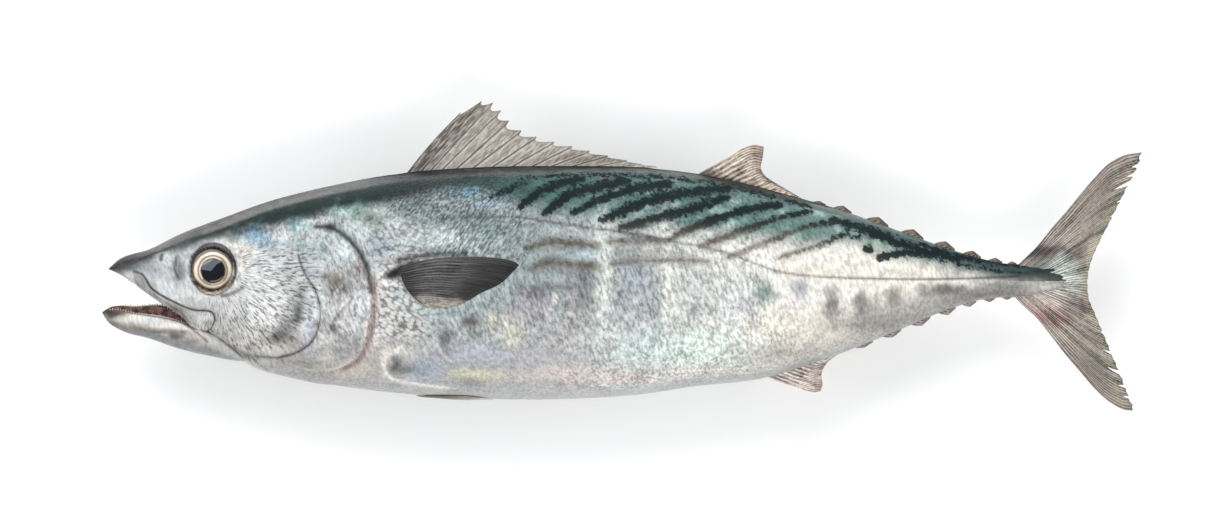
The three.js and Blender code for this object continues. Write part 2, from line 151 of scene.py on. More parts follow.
# ---- Body ----
# Head, trunk and tail stem grew as one, under a scaleless silver skin with a patch of scales behind the head. The
# skin is drawn out from a sphere along the fish's back, belly and width, and then pressed into its hollows.
MM = 0.001
LENGTH, DEPTH, THICKNESS = 0.6, 0.134, 0.095
ORIGIN_SHARE = 0.43  # share of the fish's length at which the frame's origin lies
SNOUT, STEM_END = 0.006, 0.929  # where the body starts and ends, as shares of the length
LIP_INSET = 0.7  # width of the mouth inside its lip, of the width outside it
HOLLOW_TURN = 0.42  # how much of the underside the open mouth's hollow takes up
PALATE = 8 * MM  # height of the mouth's roof over the lip
FIN_BED = 1.9 * MM  # how far the lower breast fin is pressed into the flank that the fish lies on


def curve(points):
    """A smooth function through a few given points, which stays at its end values beyond them."""
    xs, ys = np.array(points, float).T
    slopes = np.diff(ys) / np.diff(xs)
    lean = np.concatenate([slopes[:1], (slopes[1:] + slopes[:-1]) / 2, slopes[-1:]])

    def at(x):
        x = np.clip(x, xs[0], xs[-1])
        i = np.clip(np.searchsorted(xs, x, side="right") - 1, 0, len(xs) - 2)
        step = xs[i + 1] - xs[i]
        p = (x - xs[i]) / step
        ends = ys[i] * (1 + 2 * p) * (1 - p) ** 2 + ys[i + 1] * p**2 * (3 - 2 * p)
        return ends + step * (lean[i] * p * (1 - p) ** 2 - lean[i + 1] * p**2 * (1 - p))

    return at


def smooth(low, high, x):
    """0 below low and 1 above high, or the other way round if low is the larger."""
    p = np.clip((x - low) / (high - low), 0, 1)
    return p * p * (3 - 2 * p)


def bump(x, middle, width):
    return np.exp(-(((x - middle) / width) ** 2))


back_curve = curve(
    [(SNOUT, 0.06), (0.017, 0.103), (0.046, 0.146), (0.075, 0.21), (0.118, 0.283), (0.161, 0.352),
     (0.219, 0.417), (0.276, 0.464), (0.36, 0.494), (0.44, 0.5), (0.52, 0.494), (0.57, 0.47), (0.62, 0.424),
     (0.67, 0.364), (0.708, 0.315), (0.766, 0.222), (0.823, 0.132), (0.866, 0.084), (0.9, 0.078),
     (0.92, 0.056), (STEM_END, 0.01)])
belly_curve = curve(
    [(SNOUT, 0.06), (0.017, 0.037), (0.033, -0.007), (0.059, -0.089), (0.078, -0.142), (0.097, -0.2),
     (0.117, -0.27), (0.133, -0.328), (0.15, -0.37), (0.19, -0.413), (0.248, -0.455), (0.305, -0.481),
     (0.38, -0.499), (0.435, -0.5), (0.521, -0.477), (0.564, -0.447), (0.636, -0.408), (0.675, -0.355),
     (0.708, -0.305), (0.766, -0.2), (0.8, -0.135), (0.838, -0.078), (0.866, -0.062), (0.9, -0.064),
     (0.92, -0.04), (STEM_END, 0.01)])
width_curve = curve(
    [(SNOUT, 0), (0.017, 0.047), (0.033, 0.09), (0.058, 0.147), (0.083, 0.2), (0.108, 0.247), (0.142, 0.3),
     (0.183, 0.358), (0.233, 0.416), (0.292, 0.463), (0.358, 0.494), (0.42, 0.5), (0.517, 0.468), (0.6, 0.4),
     (0.667, 0.321), (0.733, 0.226), (0.79, 0.142), (0.833, 0.093), (0.866, 0.07), (0.9, 0.05),
     (0.92, 0.028), (STEM_END, 0)])
mouth_open = curve([(SNOUT, 0), (0.03, 1), (0.09, 1), (0.112, 0.45), (0.13, 0), (1, 0)])
KEEL, KEEL_SPREAD = 3.4 * MM, 0.3  # how far the keels of the tail stem stand out, and how wide they are in turn
keel_height = curve([(0.8, 0), (0.86, 0.8), (0.885, 1), (0.915, 0.3), (STEM_END, 0)])


def back_at(share):
    return back_curve(share) * DEPTH


def belly_at(share):
    return belly_curve(share) * DEPTH


def width_at(share):
    return width_curve(share) * THICKNESS


def section_at(share):
    """Heights of the back, of the widest place and of the belly."""
    top, bottom = back_at(share), belly_at(share)
    return top, (top + bottom) / 2, bottom


def lip_at(share):
    """Half width of the mouth inside its lip, and how open the mouth is there."""
    amount = np.clip(mouth_open(share), 0, 1)
    return width_at(share) * LIP_INSET * amount, amount


def x_at(share):
    return (share - ORIGIN_SHARE) * LENGTH


def share_at(x):
    return x / LENGTH + ORIGIN_SHARE


def placed(points):
    """Points given as shares of the fish's length and depth, in metres."""
    return [(x_at(share), height * DEPTH) for share, height in points]


def path(points):
    """A smooth line through points, as a function of how far along it one is, from 0 to 1."""
    points = np.array(points, float)
    reach = np.concatenate([[0], np.cumsum(np.linalg.norm(np.diff(points, axis=0), axis=1))])
    across, up = (curve(np.column_stack([reach / reach[-1], points[:, k]])) for k in range(2))
    return lambda t: np.stack([across(t), up(t)])


def ring_point(turn, width, lip, above, below, hollow, amount):
    """A ring round the fish, `above` and `below` its middle, whose lower half may run in under a lip to a hollow.
    The hollow's height is drawn by `amount`, from 0 where the mouth is shut to 1."""
    quarter = np.abs(turn) / (np.pi / 2)
    side = np.sign(turn)
    over = quarter <= 1
    z_over, y_over = side * width * np.sin(np.abs(turn)), above * np.cos(turn)
    flank = 1 - HOLLOW_TURN * amount
    a = np.clip((quarter - 1) / flank, 0, 1) * np.pi / 2
    z_under = side * (lip + (width - lip) * np.cos(a))
    y_under = -below * np.sin(a)
    inside = np.clip((quarter - 1 - flank) / np.maximum(1 - flank, 1e-6), 0, 1)
    b = inside * np.pi / 2
    in_hollow = (quarter > 1 + flank) & (amount > 0)
    z_in = side * lip * np.cos(b)
    y_in = -below + hollow * amount * np.sin(b)
    y = np.where(over, y_over, np.where(in_hollow, y_in, y_under))
    z = np.where(over, z_over, np.where(in_hollow, z_in, z_under))
    return y, z, np.where(in_hollow & ~over, inside, 0)


def drawn_out(around, along, shares, ring):
    """A sphere drawn out along the fish, and where each of its points lies: share of length, turn, and how far in
    a hollow. `shares` places the rings and `ring` shapes each one."""
    bm = bmesh.new()
    bmesh.ops.create_uvsphere(bm, u_segments=around, v_segments=along, radius=1)
    start = np.array([v.co for v in bm.verts])
    turn = np.arctan2(start[:, 1], start[:, 0])
    share = shares(np.arccos(np.clip(start[:, 2], -1, 1)) / np.pi)
    y, z, inside = ring(share, turn)
    pole = np.abs(start[:, 2]) > 1 - 1e-9
    y_pole = (ring(share, turn * 0)[0] + ring(share, turn * 0 + np.pi)[0]) / 2
    y, z = np.where(pole, y_pole, y), np.where(pole, 0, z)
    for vertex, place in zip(bm.verts, np.column_stack([x_at(share), y, z + MIDDLE])):
        vertex.co = place
    bmesh.ops.recalc_face_normals(bm, faces=bm.faces)
    return bm, share, turn, inside


def body_ring(share, turn):
    top, middle, bottom = section_at(share)
    lip, amount = lip_at(share)
    y, z, inside = ring_point(turn, width_at(share), lip, top - middle, middle - bottom, PALATE, amount)
    ridge = KEEL * np.where(share < 0.8, 0, keel_height(share)) * bump(np.abs(turn), np.pi / 2, KEEL_SPREAD)
    return middle + y, z + np.sign(z) * ridge, inside


def flank_at(x, y):
    """How far out of the plane of symmetry the skin of a flank is at a place on it, seen from the side."""
    share = np.clip(share_at(x), SNOUT, STEM_END)
    top, middle, bottom = section_at(share)
    lip = np.where(y < middle, lip_at(share)[0], 0)
    rise = np.where(y < middle, (middle - y) / (middle - bottom), (y - middle) / (top - middle))
    return lip + (width_at(share) - lip) * np.sqrt(np.clip(1 - rise**2, 0, 1))


def stroke(points, x, y, steps=40):
    """For places on the flank: how far each is from a line drawn there, how far along the line its nearest point
    is, and which side it is on (positive to the left of the line's direction)."""
    line = path(placed(points))(np.linspace(0, 1, steps + 1)).T
    nearest = np.full(len(x), np.inf)
    along = np.zeros(len(x))
    left = np.zeros(len(x))
    for i, (start, end) in enumerate(zip(line[:-1], line[1:])):
        run = end - start
        ahead = np.clip(((x - start[0]) * run[0] + (y - start[1]) * run[1]) / (run @ run), 0, 1)
        dx, dy = x - start[0] - ahead * run[0], y - start[1] - ahead * run[1]
        distance = np.hypot(dx, dy)
        closer = distance < nearest
        nearest = np.where(closer, distance, nearest)
        along = np.where(closer, (i + ahead) / steps, along)
        left = np.where(closer, np.sign(run[0] * dy - run[1] * dx), left)
    return nearest, along, left


def gap_to(points, x, y, steps=40):
    """How far each place is from a line on the flank, in millimetres."""
    return stroke(points, x, y, steps)[0] / MM


EYE_SHARE = 0.108
EYE_AT = (x_at(EYE_SHARE), 0.008)
EYE_RADIUS = 12.4 * MM
# Lines on the flank, as shares of the fish's length and depth.
CHEEK_EDGE = [(0.207, 0.242), (0.195, 0.206), (0.19, 0.12), (0.1965, 0.039), (0.2067, -0.034),
              (0.2107, -0.107), (0.2097, -0.179), (0.2025, -0.251), (0.19, -0.293), (0.17, -0.32)]
COVER_EDGE = [(0.207, 0.242), (0.221, 0.237), (0.237, 0.192), (0.249, 0.129), (0.256, 0.064), (0.26, -0.034),
              (0.26, -0.107), (0.257, -0.181), (0.253, -0.251), (0.247, -0.313), (0.231, -0.36),
              (0.214, -0.38), (0.19, -0.366), (0.17, -0.32)]
CHEEK_HEM = [(0.17, -0.32), (0.15, -0.315)]
MAXILLA_UPPER = [(0.03, 0.05), (0.039, 0.038), (0.049, -0.026), (0.069, -0.08), (0.089, -0.116),
                 (0.1075, -0.129), (0.1097, -0.161)]
MAXILLA_LOWER = [(0.03, 0.05), (0.034, -0.01), (0.044, -0.045), (0.06, -0.094), (0.0775, -0.146),
                 (0.0873, -0.19), (0.0975, -0.213), (0.1055, -0.198), (0.1097, -0.161)]
JAW_JOINT = [(0.099, -0.202), (0.115, -0.262)]
NOSTRIL = [(0.058, 0.12), (0.0575, 0.1)]
EYELID = [(0.073, 0.116), (0.071, 0.064), (0.075, 0.017)]
LATERAL_LINE = [(0.262, 0.2), (0.29, 0.245), (0.325, 0.276), (0.365, 0.285), (0.394, 0.285), (0.423, 0.267),
                (0.453, 0.245), (0.482, 0.228), (0.521, 0.202), (0.555, 0.173), (0.585, 0.147), (0.608, 0.116),
                (0.624, 0.087), (0.648, 0.048), (0.671, 0.033), (0.726, 0.02), (0.811, 0.017), (0.88, 0.028)]
PECTORAL_UPPER = [(0.287, 0.07), (0.317, 0.104), (0.352, 0.113), (0.377, 0.108), (0.397, 0.09), (0.401, 0.077)]
PECTORAL_TRAIL = [(0.401, 0.077), (0.383, -0.002), (0.364, -0.043), (0.352, -0.076), (0.337, -0.099),
                  (0.314, -0.107)]
PECTORAL_ROOT = [(0.287, 0.07), (0.29, 0.01), (0.3, -0.06), (0.314, -0.107)]
FOLD_OVER_FIN = [(0.262, 0.01), (0.268, 0.062), (0.286, 0.097), (0.315, 0.12), (0.35, 0.124)]
ARMPIT = [(0.277, 0.03), (0.288, 0.062), (0.303, 0.07)]
FIN_LOBE = [(0.29, 0.01), (0.303, -0.02), (0.313, -0.07), (0.312, -0.13)]
# Narrow grooves of the head: line, steps, depth and half width in millimetres.
GROOVES = [(CHEEK_HEM, 8, 0.5, 1.0), (JAW_JOINT, 8, 0.9, 1.0), (NOSTRIL, 4, 1.1, 0.9), (EYELID, 12, 0.6, 1.1)]


def relief(x, y, turn, share):
    """How far the skin stands out of its smooth shape, in millimetres: hollows, folds and the swell of bones."""
    out = np.zeros(len(x))
    head = share < 0.3
    xh, yh = x[head], y[head]
    r = np.hypot(xh - EYE_AT[0], yh - EYE_AT[1]) / MM
    d = 0.6 * bump(r, 15.4, 1.2) - 4.2 * smooth(14.0, 12.3, r)  # brow and socket
    near, along, inward = stroke(CHEEK_EDGE, xh, yh)
    cover, cover_along, behind = stroke(COVER_EDGE, xh, yh)
    near, cover = near / MM, cover / MM
    d += np.where(inward > 0, 0, 0.9 * np.exp(-near / 5)) * smooth(0, 0.35, along)
    under_cover = (inward > 0) & (behind < 0) & (yh < 0.25 * DEPTH)
    d -= np.where(under_cover, 1.6 * smooth(0, 1.5, np.minimum(near, cover)), 0)
    slit = (2.2 * bump(cover, 0, 3.2) - 0.7 * bump(cover, 6.0, 1.6)) * smooth(0, 0.15, cover_along)
    d -= np.where(behind > 0, slit * smooth(1, 0.85, cover_along), 0)
    upper, _, above = stroke(MAXILLA_UPPER, xh, yh)
    lower, _, below = stroke(MAXILLA_LOWER, xh, yh)
    under_jaw_bone = (above < 0) & (below > 0) & (xh < x_at(MAXILLA_UPPER[-1][0]))
    d -= np.where(under_jaw_bone, smooth(0, 1.2, np.minimum(upper, lower) / MM), 0)
    d -= 0.6 * bump(upper / MM, 0, 0.8) * (share[head] > 0.031)
    for line, steps, deep, half in GROOVES:
        d -= deep * bump(gap_to(line, xh, yh, steps), 0, half)
    out[head] = d
    trunk = (share > 0.25) & (share < 0.42)
    xt, yt = x[trunk], y[trunk]
    fold, fold_along, over = stroke(FOLD_OVER_FIN, xt, yt)
    fold /= MM
    d = np.where(over > 0, 0.9 * bump(fold, 3.4, 2.2), 0) * smooth(1, 0.5, fold_along)
    d -= 1.8 * bump(fold, 0.4, 1.8) * smooth(1, 0.6, fold_along)
    d += 0.9 * bump(gap_to(FIN_LOBE, xt, yt, 16), 0, 4.5) - 2.6 * bump(gap_to(ARMPIT, xt, yt, 12), 0, 2.4)
    upper, _, above = stroke(PECTORAL_UPPER, xt, yt)
    trail, _, behind = stroke(PECTORAL_TRAIL, xt, yt)
    under_fin = (above < 0) & (behind < 0) & (xt > x_at(0.295))
    d -= np.where(under_fin, 0.7 * smooth(0, 2.5, np.minimum(upper, trail) / MM), 0)
    out[trunk] += d
    edge = np.abs(turn) * THICKNESS / 2 / MM
    fin_groove = 1.2 * bump(edge, 0, 1.6) - 0.5 * bump(edge, 3.4, 1.4)
    out -= smooth(0.28, 0.3, share) * smooth(0.54, 0.52, share) * fin_groove
    out -= 0.25 * bump(gap_to(LATERAL_LINE, x, y, 60), 0, 0.9)
    return out + smooth(0.885, 0.91, share) * 0.35 * np.sin(turn * 14 + 60 * share)  # ridges at the tail's root


def vectors(mesh, name, width=3):
    values = np.zeros(len(mesh.vertices) * width, np.float32)
    mesh.vertices.foreach_get(name, values)
    return values.reshape(-1, width).astype(float)


def moved(mesh, places):
    mesh.vertices.foreach_set("co", places.astype(np.float32).ravel())
    mesh.update()


def unevenness(places, scale, seed=0.0):
    """Smooth noise from -1 to 1 at each place."""
    return np.array([noise.noise(Vector(p) * scale + Vector((seed, seed, seed))) for p in places])


def light(colour):
    """A colour given by its 0 to 255 values, as light. One that is light already is left alone."""
    return (np.array(colour) / 255) ** 2.2 if isinstance(colour, tuple) else colour


# How high the teal starts, and the colours along the fish, each at a share of its length.
TEAL_LINE = curve([(0, 0.062), (0.05, 0.115), (0.09, 0.17), (0.13, 0.215), (0.19, 0.27), (0.238, 0.312),
                   (0.286, 0.345), (0.36, 0.385), (0.42, 0.315), (0.47, 0.285), (0.52, 0.262), (0.574, 0.22),
                   (0.6, 0.208), (0.65, 0.184), (0.685, 0.168), (0.717, 0.178), (0.752, 0.126), (0.787, 0.09),
                   (0.822, 0.055), (0.857, 0.036), (0.9, 0.03)])
TEAL = [(0, (34, 34, 34)), (0.05, (40, 44, 44)), (0.1, (18, 40, 37)), (0.15, (13, 40, 36)),
        (0.22, (14, 42, 38)), (0.3, (12, 38, 37)), (0.36, (34, 64, 64)), (0.44, (70, 104, 102)),
        (0.55, (88, 118, 114)), (0.7, (104, 130, 124)), (0.8, (84, 108, 106)), (0.9, (46, 58, 56))]
TEAL_FLECK = (176, 200, 190)
SILVER = [(0, (66, 67, 67)), (0.03, (100, 102, 103)), (0.055, (176, 178, 178)), (0.1, (206, 208, 208)),
          (0.2, (180, 182, 181)), (0.27, (182, 188, 188)), (0.33, (158, 170, 171)),
          (0.42, (142, 152, 153)), (0.5, (162, 166, 164)), (0.58, (202, 202, 197)),
          (0.64, (230, 227, 219)), (0.8, (230, 225, 214)), (0.88, (168, 167, 162))]
LOW_SILVER = [(0, (184, 182, 180)), (0.14, (168, 167, 164)), (0.25, (166, 164, 161)),
              (0.36, (164, 165, 166)), (0.45, (172, 170, 168)), (0.55, (188, 196, 193)),
              (0.66, (204, 198, 188)), (0.8, (148, 146, 142)), (0.87, (120, 119, 117)), (0.92, (126, 124, 122))]
# The grey band along the edge of the back is painted reflection.
BACK_EDGE_REFLECTION = [(0, (44, 44, 44)), (0.03, (80, 79, 78)), (0.06, (112, 110, 108)), (0.2, (112, 111, 110)),
            (0.3, (84, 87, 87)), (0.4, (90, 96, 96)), (0.55, (92, 98, 98)), (0.7, (84, 90, 90)),
            (0.8, (66, 74, 74)), (0.9, (48, 54, 54))]
# The grey band along the edge of the belly is painted reflection too.
BELLY_EDGE_REFLECTION = [(0, (150, 148, 144)), (0.15, (150, 150, 148)), (0.5, (168, 170, 169)),
             (0.7, (156, 157, 155)), (0.9, (134, 135, 133))]
# Soft patches on the skin: share of length, height, half length and half height in millimetres, colour, strength.
PATCHES = [
    # snout and cheek
    (0.009, 0.05, 7, 5, (48, 49, 49), 0.8), (0.03, 0.105, 12, 3, (64, 68, 69), 0.7),
    (0.02, 0.078, 8, 4, (52, 54, 54), 0.75), (0.04, 0.112, 10, 1.6, (52, 56, 56), 0.7),
    (0.06, 0.1, 5, 4, (206, 212, 216), 0.7), (0.049, 0.06, 7, 4, (142, 146, 150), 0.6),
    (0.035, 0.04, 7, 3, (186, 188, 188), 0.5), (0.0765, 0.055, 3.6, 7, (84, 88, 92), 0.75),
    (0.067, -0.045, 14, 6, (216, 220, 222), 0.6), (0.08, 0.17, 12, 3.5, (84, 92, 92), 0.6),
    (0.108, 0.205, 12, 3, (26, 46, 42), 0.75), (0.134, 0.11, 6.5, 11, (216, 213, 202), 0.8),
    (0.13, 0.22, 8, 3.5, (26, 52, 47), 0.8), (0.15, 0.205, 8, 4, (104, 142, 166), 0.85),
    (0.153, 0.228, 9, 1.6, (44, 66, 74), 0.6), (0.167, 0.165, 6, 4, (150, 178, 190), 0.6),
    (0.17, 0.3, 14, 5, (16, 42, 38), 0.8), (0.17, 0.128, 9, 4, (186, 192, 194), 0.5),
    (0.155, -0.065, 14, 10, (214, 214, 212), 0.6), (0.161, -0.14, 9, 7, (226, 226, 224), 0.6),
    (0.142, -0.23, 10, 6, (204, 200, 195), 0.5), (0.14, 0.0, 10, 6, (196, 198, 196), 0.4),
    # cheek's rear edge and its dark mottling
    (0.2, -0.188, 3.2, 12, (186, 191, 202), 0.8), (0.1895, -0.12, 3, 8.5, (58, 56, 56), 0.8),
    (0.178, -0.19, 5, 6, (84, 82, 82), 0.7), (0.17, -0.235, 5.5, 4, (64, 62, 62), 0.75),
    (0.183, -0.25, 4, 4, (150, 146, 140), 0.5), (0.163, -0.28, 8, 2.6, (206, 200, 190), 0.6),
    (0.19, -0.03, 4, 5, (120, 118, 116), 0.5), (0.185, 0.04, 7, 4, (150, 152, 152), 0.45),
    # gill cover
    (0.19, 0.25, 8, 4, (146, 176, 180), 0.75), (0.2, 0.3, 12, 3.5, (16, 42, 38), 0.85),
    (0.225, 0.215, 7, 4, (156, 174, 176), 0.7), (0.221, 0.243, 3, 2, (20, 22, 22), 0.9),
    (0.192, 0.165, 6, 4, (148, 168, 168), 0.7), (0.21, 0.14, 8, 6, (142, 158, 162), 0.75),
    (0.237, 0.137, 6, 4.5, (206, 218, 220), 0.8), (0.2025, 0.056, 7, 5, (164, 170, 176), 0.7),
    (0.222, 0.02, 8, 4.5, (116, 111, 105), 0.85), (0.23, -0.012, 8, 5, (112, 106, 100), 0.85),
    (0.249, 0.056, 4, 6, (146, 134, 132), 0.7), (0.2106, -0.07, 3.5, 12, (206, 210, 210), 0.7),
    (0.249, -0.09, 4, 8, (208, 208, 212), 0.8), (0.241, -0.188, 5, 6, (206, 203, 205), 0.7),
    (0.2247, -0.197, 2.6, 3.6, (112, 110, 112), 0.7), (0.237, -0.25, 5, 4, (168, 164, 167), 0.7),
    (0.249, -0.29, 3, 4, (104, 101, 101), 0.6), (0.231, -0.31, 7, 4, (156, 153, 155), 0.7),
    (0.216, -0.325, 6, 3.5, (192, 190, 184), 0.7), (0.232, -0.11, 5, 5, (168, 164, 162), 0.6),
    (0.212, -0.235, 4, 7, (184, 182, 180), 0.6), (0.193, -0.348, 10, 3, (136, 133, 127), 0.75),
    # throat
    (0.122, -0.287, 6, 3, (126, 121, 118), 0.6), (0.138, -0.316, 9, 1.8, (74, 72, 70), 0.7),
    (0.17, -0.378, 16, 3, (160, 158, 155), 0.6), (0.241, -0.378, 14, 3, (186, 178, 160), 0.7),
    # behind the gill slit; the two near-black patches at the breast fin's root are painted shade in its pit, and
    # the two dark patches low down at share 0.28 are painted shade in a round hollow of the belly
    (0.271, -0.1, 8, 14, (206, 204, 201), 0.8), (0.275, 0.0, 6, 4, (216, 212, 208), 0.8),
    (0.2815, 0.038, 5, 3, (24, 22, 22), 0.95), (0.297, 0.064, 8, 2.6, (30, 28, 28), 0.9),
    (0.285, 0.1, 12, 2.4, (182, 172, 166), 0.7), (0.268, 0.16, 7, 8, (138, 154, 164), 0.7),
    (0.251, 0.291, 9, 4, (92, 118, 106), 0.7), (0.263, 0.262, 6, 4, (92, 104, 88), 0.6),
    (0.231, 0.305, 8, 2.6, (148, 182, 176), 0.7), (0.245, 0.215, 7, 4, (170, 186, 188), 0.6),
    (0.29, -0.13, 9, 9, (196, 194, 190), 0.6), (0.3, -0.2, 8, 7, (206, 204, 200), 0.5),
    (0.2815, -0.355, 5, 6, (70, 70, 66), 0.85), (0.294, -0.375, 6, 3.4, (84, 86, 82), 0.8),
    (0.3, -0.4, 12, 3, (176, 182, 180), 0.6), (0.272, -0.33, 3, 9, (206, 198, 190), 0.7),
    (0.287, -0.295, 8, 2, (212, 206, 200), 0.6), (0.345, 0.31, 20, 8, (98, 112, 114), 0.6),
    (0.305, 0.31, 14, 6, (98, 116, 118), 0.75), (0.352, 0.388, 8, 2.2, (104, 146, 168), 0.75),
    (0.372, 0.345, 8, 2.6, (134, 164, 178), 0.6), (0.364, 0.25, 15, 7, (90, 112, 116), 0.72),
    (0.325, 0.19, 13, 5, (204, 212, 210), 0.6), (0.395, 0.2, 11, 6, (112, 130, 132), 0.5),
    # belly spots, yellow, blue and pink glints
    (0.313, -0.375, 10, 6, (138, 150, 164), 0.7), (0.33, -0.249, 3.8, 7, (76, 76, 72), 0.9),
    (0.356, -0.168, 5.6, 3.4, (74, 68, 64), 0.9), (0.36, -0.228, 4, 2.6, (100, 96, 88), 0.85),
    (0.36, -0.3, 20, 9, (160, 163, 174), 0.6), (0.362, -0.392, 15, 3.4, (206, 202, 166), 0.75),
    (0.395, -0.23, 6, 8, (206, 204, 174), 0.6), (0.376, -0.16, 2.5, 5, (196, 190, 158), 0.6),
    (0.4, -0.33, 18, 8, (160, 162, 170), 0.6), (0.415, -0.03, 8, 4, (132, 132, 142), 0.6),
    (0.42, -0.06, 10, 2.6, (104, 102, 104), 0.5), (0.41, -0.12, 14, 9, (166, 158, 162), 0.6),
    (0.435, -0.2, 16, 9, (160, 158, 160), 0.5), (0.46, -0.1, 10, 10, (178, 172, 172), 0.6),
    (0.44, -0.385, 26, 4, (202, 190, 184), 0.7), (0.5, -0.405, 30, 4, (204, 191, 185), 0.7),
    (0.57, -0.375, 18, 4, (216, 196, 188), 0.6),
    # flank
    (0.46, 0.12, 12, 4, (178, 196, 204), 0.7), (0.481, 0.0, 4.6, 36, (212, 216, 210), 0.8),
    (0.541, 0.0, 4.6, 36, (216, 218, 212), 0.8), (0.512, 0.03, 7, 8, (170, 182, 194), 0.7),
    (0.512, -0.05, 8, 10, (150, 156, 164), 0.75), (0.455, 0.02, 9, 6, (160, 166, 172), 0.6),
    (0.57, -0.03, 7, 14, (176, 180, 182), 0.6), (0.6, 0.03, 6, 12, (200, 204, 200), 0.5),
    (0.5, -0.17, 22, 8, (176, 178, 180), 0.5), (0.52, -0.27, 20, 9, (186, 204, 200), 0.6),
    (0.575, -0.29, 20, 9, (212, 228, 220), 0.75), (0.61, -0.25, 14, 10, (206, 216, 206), 0.5),
    (0.635, -0.043, 6, 7, (104, 130, 122), 0.9), (0.669, -0.021, 5, 5, (130, 140, 148), 0.8),
    (0.7, -0.095, 4, 9, (100, 98, 92), 0.9), (0.728, -0.086, 4, 6, (112, 108, 100), 0.85),
    (0.759, -0.069, 4, 6, (96, 94, 88), 0.85), (0.806, -0.03, 9, 3.4, (80, 80, 78), 0.85),
    (0.61, -0.1, 12, 14, (186, 190, 196), 0.5), (0.66, -0.19, 24, 8, (226, 220, 206), 0.7),
    (0.69, 0.06, 26, 4, (226, 220, 206), 0.6), (0.63, 0.08, 9, 5, (206, 212, 206), 0.5),
    (0.75, -0.17, 24, 5, (128, 128, 125), 0.75), (0.65, -0.31, 26, 5, (158, 158, 152), 0.6),
    (0.78, -0.1, 18, 4, (166, 164, 160), 0.6), (0.84, -0.045, 20, 2.6, (122, 122, 120), 0.7),
    (0.87, -0.03, 18, 4, (118, 117, 114), 0.85), (0.905, -0.02, 9, 5, (200, 198, 190), 0.7),
    (0.905, -0.055, 9, 3, (146, 112, 108), 0.6), (0.9, 0.06, 9, 3, (44, 42, 42), 0.8),
    (0.4616, -0.02, 6.5, 14, (114, 117, 120), 0.85), (0.5307, -0.03, 4, 20, (152, 157, 161), 0.7),
    (0.353, -0.42, 8, 2.4, (124, 126, 124), 0.7),
]
# Dark stripes of the back and brown lines of the flank, from their lower ends. Each has its half width in
# millimetres and its strength.
STRIPES = [
    ([(0.374, 0.365), (0.393, 0.405), (0.41, 0.44)], 3.4, 0.8),
    ([(0.402, 0.325), (0.41, 0.352), (0.42, 0.39), (0.436, 0.42), (0.46, 0.448)], 4.2, 1.0),
    ([(0.425, 0.295), (0.436, 0.335), (0.448, 0.375), (0.468, 0.402), (0.505, 0.436)], 4.4, 1.0),
    ([(0.452, 0.3), (0.468, 0.335), (0.49, 0.375), (0.52, 0.41), (0.545, 0.425)], 4.4, 1.0),
    ([(0.48, 0.27), (0.495, 0.3), (0.515, 0.335), (0.541, 0.37), (0.578, 0.397), (0.6, 0.405)], 4.4, 1.0),
    ([(0.498, 0.235), (0.525, 0.268), (0.56, 0.309), (0.6, 0.368)], 4.2, 0.98),
    ([(0.542, 0.18), (0.562, 0.228), (0.589, 0.274), (0.618, 0.315), (0.65, 0.335)], 3.7, 1.0),
    ([(0.572, 0.155), (0.598, 0.2), (0.625, 0.241), (0.65, 0.28), (0.68, 0.308)], 3.1, 0.9),
    ([(0.6, 0.11), (0.63, 0.16), (0.659, 0.215), (0.685, 0.25), (0.712, 0.262)], 3.0, 0.88),
    ([(0.65, 0.11), (0.675, 0.145), (0.7, 0.185), (0.714, 0.22), (0.712, 0.25)], 3.0, 0.86),
    ([(0.7, 0.272), (0.722, 0.245), (0.741, 0.213), (0.766, 0.17), (0.785, 0.14)], 4.2, 1.0),
    ([(0.731, 0.152), (0.736, 0.142)], 4.2, 0.95), ([(0.718, 0.19), (0.727, 0.2)], 3.0, 0.8),
    ([(0.745, 0.11), (0.775, 0.132), (0.8, 0.125), (0.822, 0.1)], 3.8, 1.0),
    ([(0.785, 0.165), (0.81, 0.13), (0.84, 0.098), (0.87, 0.08), (0.895, 0.075)], 3.4, 0.86),
    ([(0.8, 0.1), (0.83, 0.075), (0.865, 0.05), (0.89, 0.042)], 2.6, 0.72),
    ([(0.4, 0.452), (0.45, 0.462), (0.5, 0.462), (0.56, 0.442), (0.62, 0.395), (0.68, 0.325)], 3.4, 0.74),
    ([(0.408, 0.145), (0.426, 0.17), (0.448, 0.17), (0.476, 0.158)], 4.4, 0.82),
    ([(0.484, 0.172), (0.51, 0.186), (0.542, 0.176)], 3.8, 0.78),
    ([(0.412, 0.06), (0.426, 0.087), (0.447, 0.085), (0.474, 0.073)], 4.4, 0.82),
    ([(0.488, 0.082), (0.515, 0.093), (0.545, 0.098), (0.58, 0.09)], 3.6, 0.76),
    ([(0.413, -0.022), (0.432, -0.015), (0.45, -0.02)], 3.4, 0.62), ([(0.5, 0.135), (0.56, 0.13)], 2.0, 0.5),
    ([(0.645, 0.11), (0.672, 0.1)], 2.0, 0.5), ([(0.592, 0.205), (0.606, 0.24), (0.63, 0.285)], 1.6, 0.5),
]
# Thin lines of painted shade where the skin folds in, and the lateral line's own dark line: points, half width in
# millimetres, strength.
UNDER_EYE = [(0.1165, -0.055), (0.1225, -0.051), (0.13, -0.037), (0.137, -0.018)]
SNOUT_RIDGE = [(0.03, 0.085), (0.045, 0.118), (0.062, 0.142)]
CREASES = [(CHEEK_EDGE[2:], 0.7, 0.9), (CHEEK_HEM, 0.6, 0.7), (JAW_JOINT, 0.9, 1.0), (NOSTRIL, 0.9, 1.0),
           (EYELID, 0.8, 0.8), (MAXILLA_UPPER[1:], 0.6, 0.95), (ARMPIT, 2.0, 1.0),
           (UNDER_EYE, 1.0, 0.8), (SNOUT_RIDGE, 0.6, 0.6),
           (FOLD_OVER_FIN[2:], 1.3, 0.85), (COVER_EDGE[:6], 1.5, 0.95), (LATERAL_LINE[2:], 0.7, 0.72)]
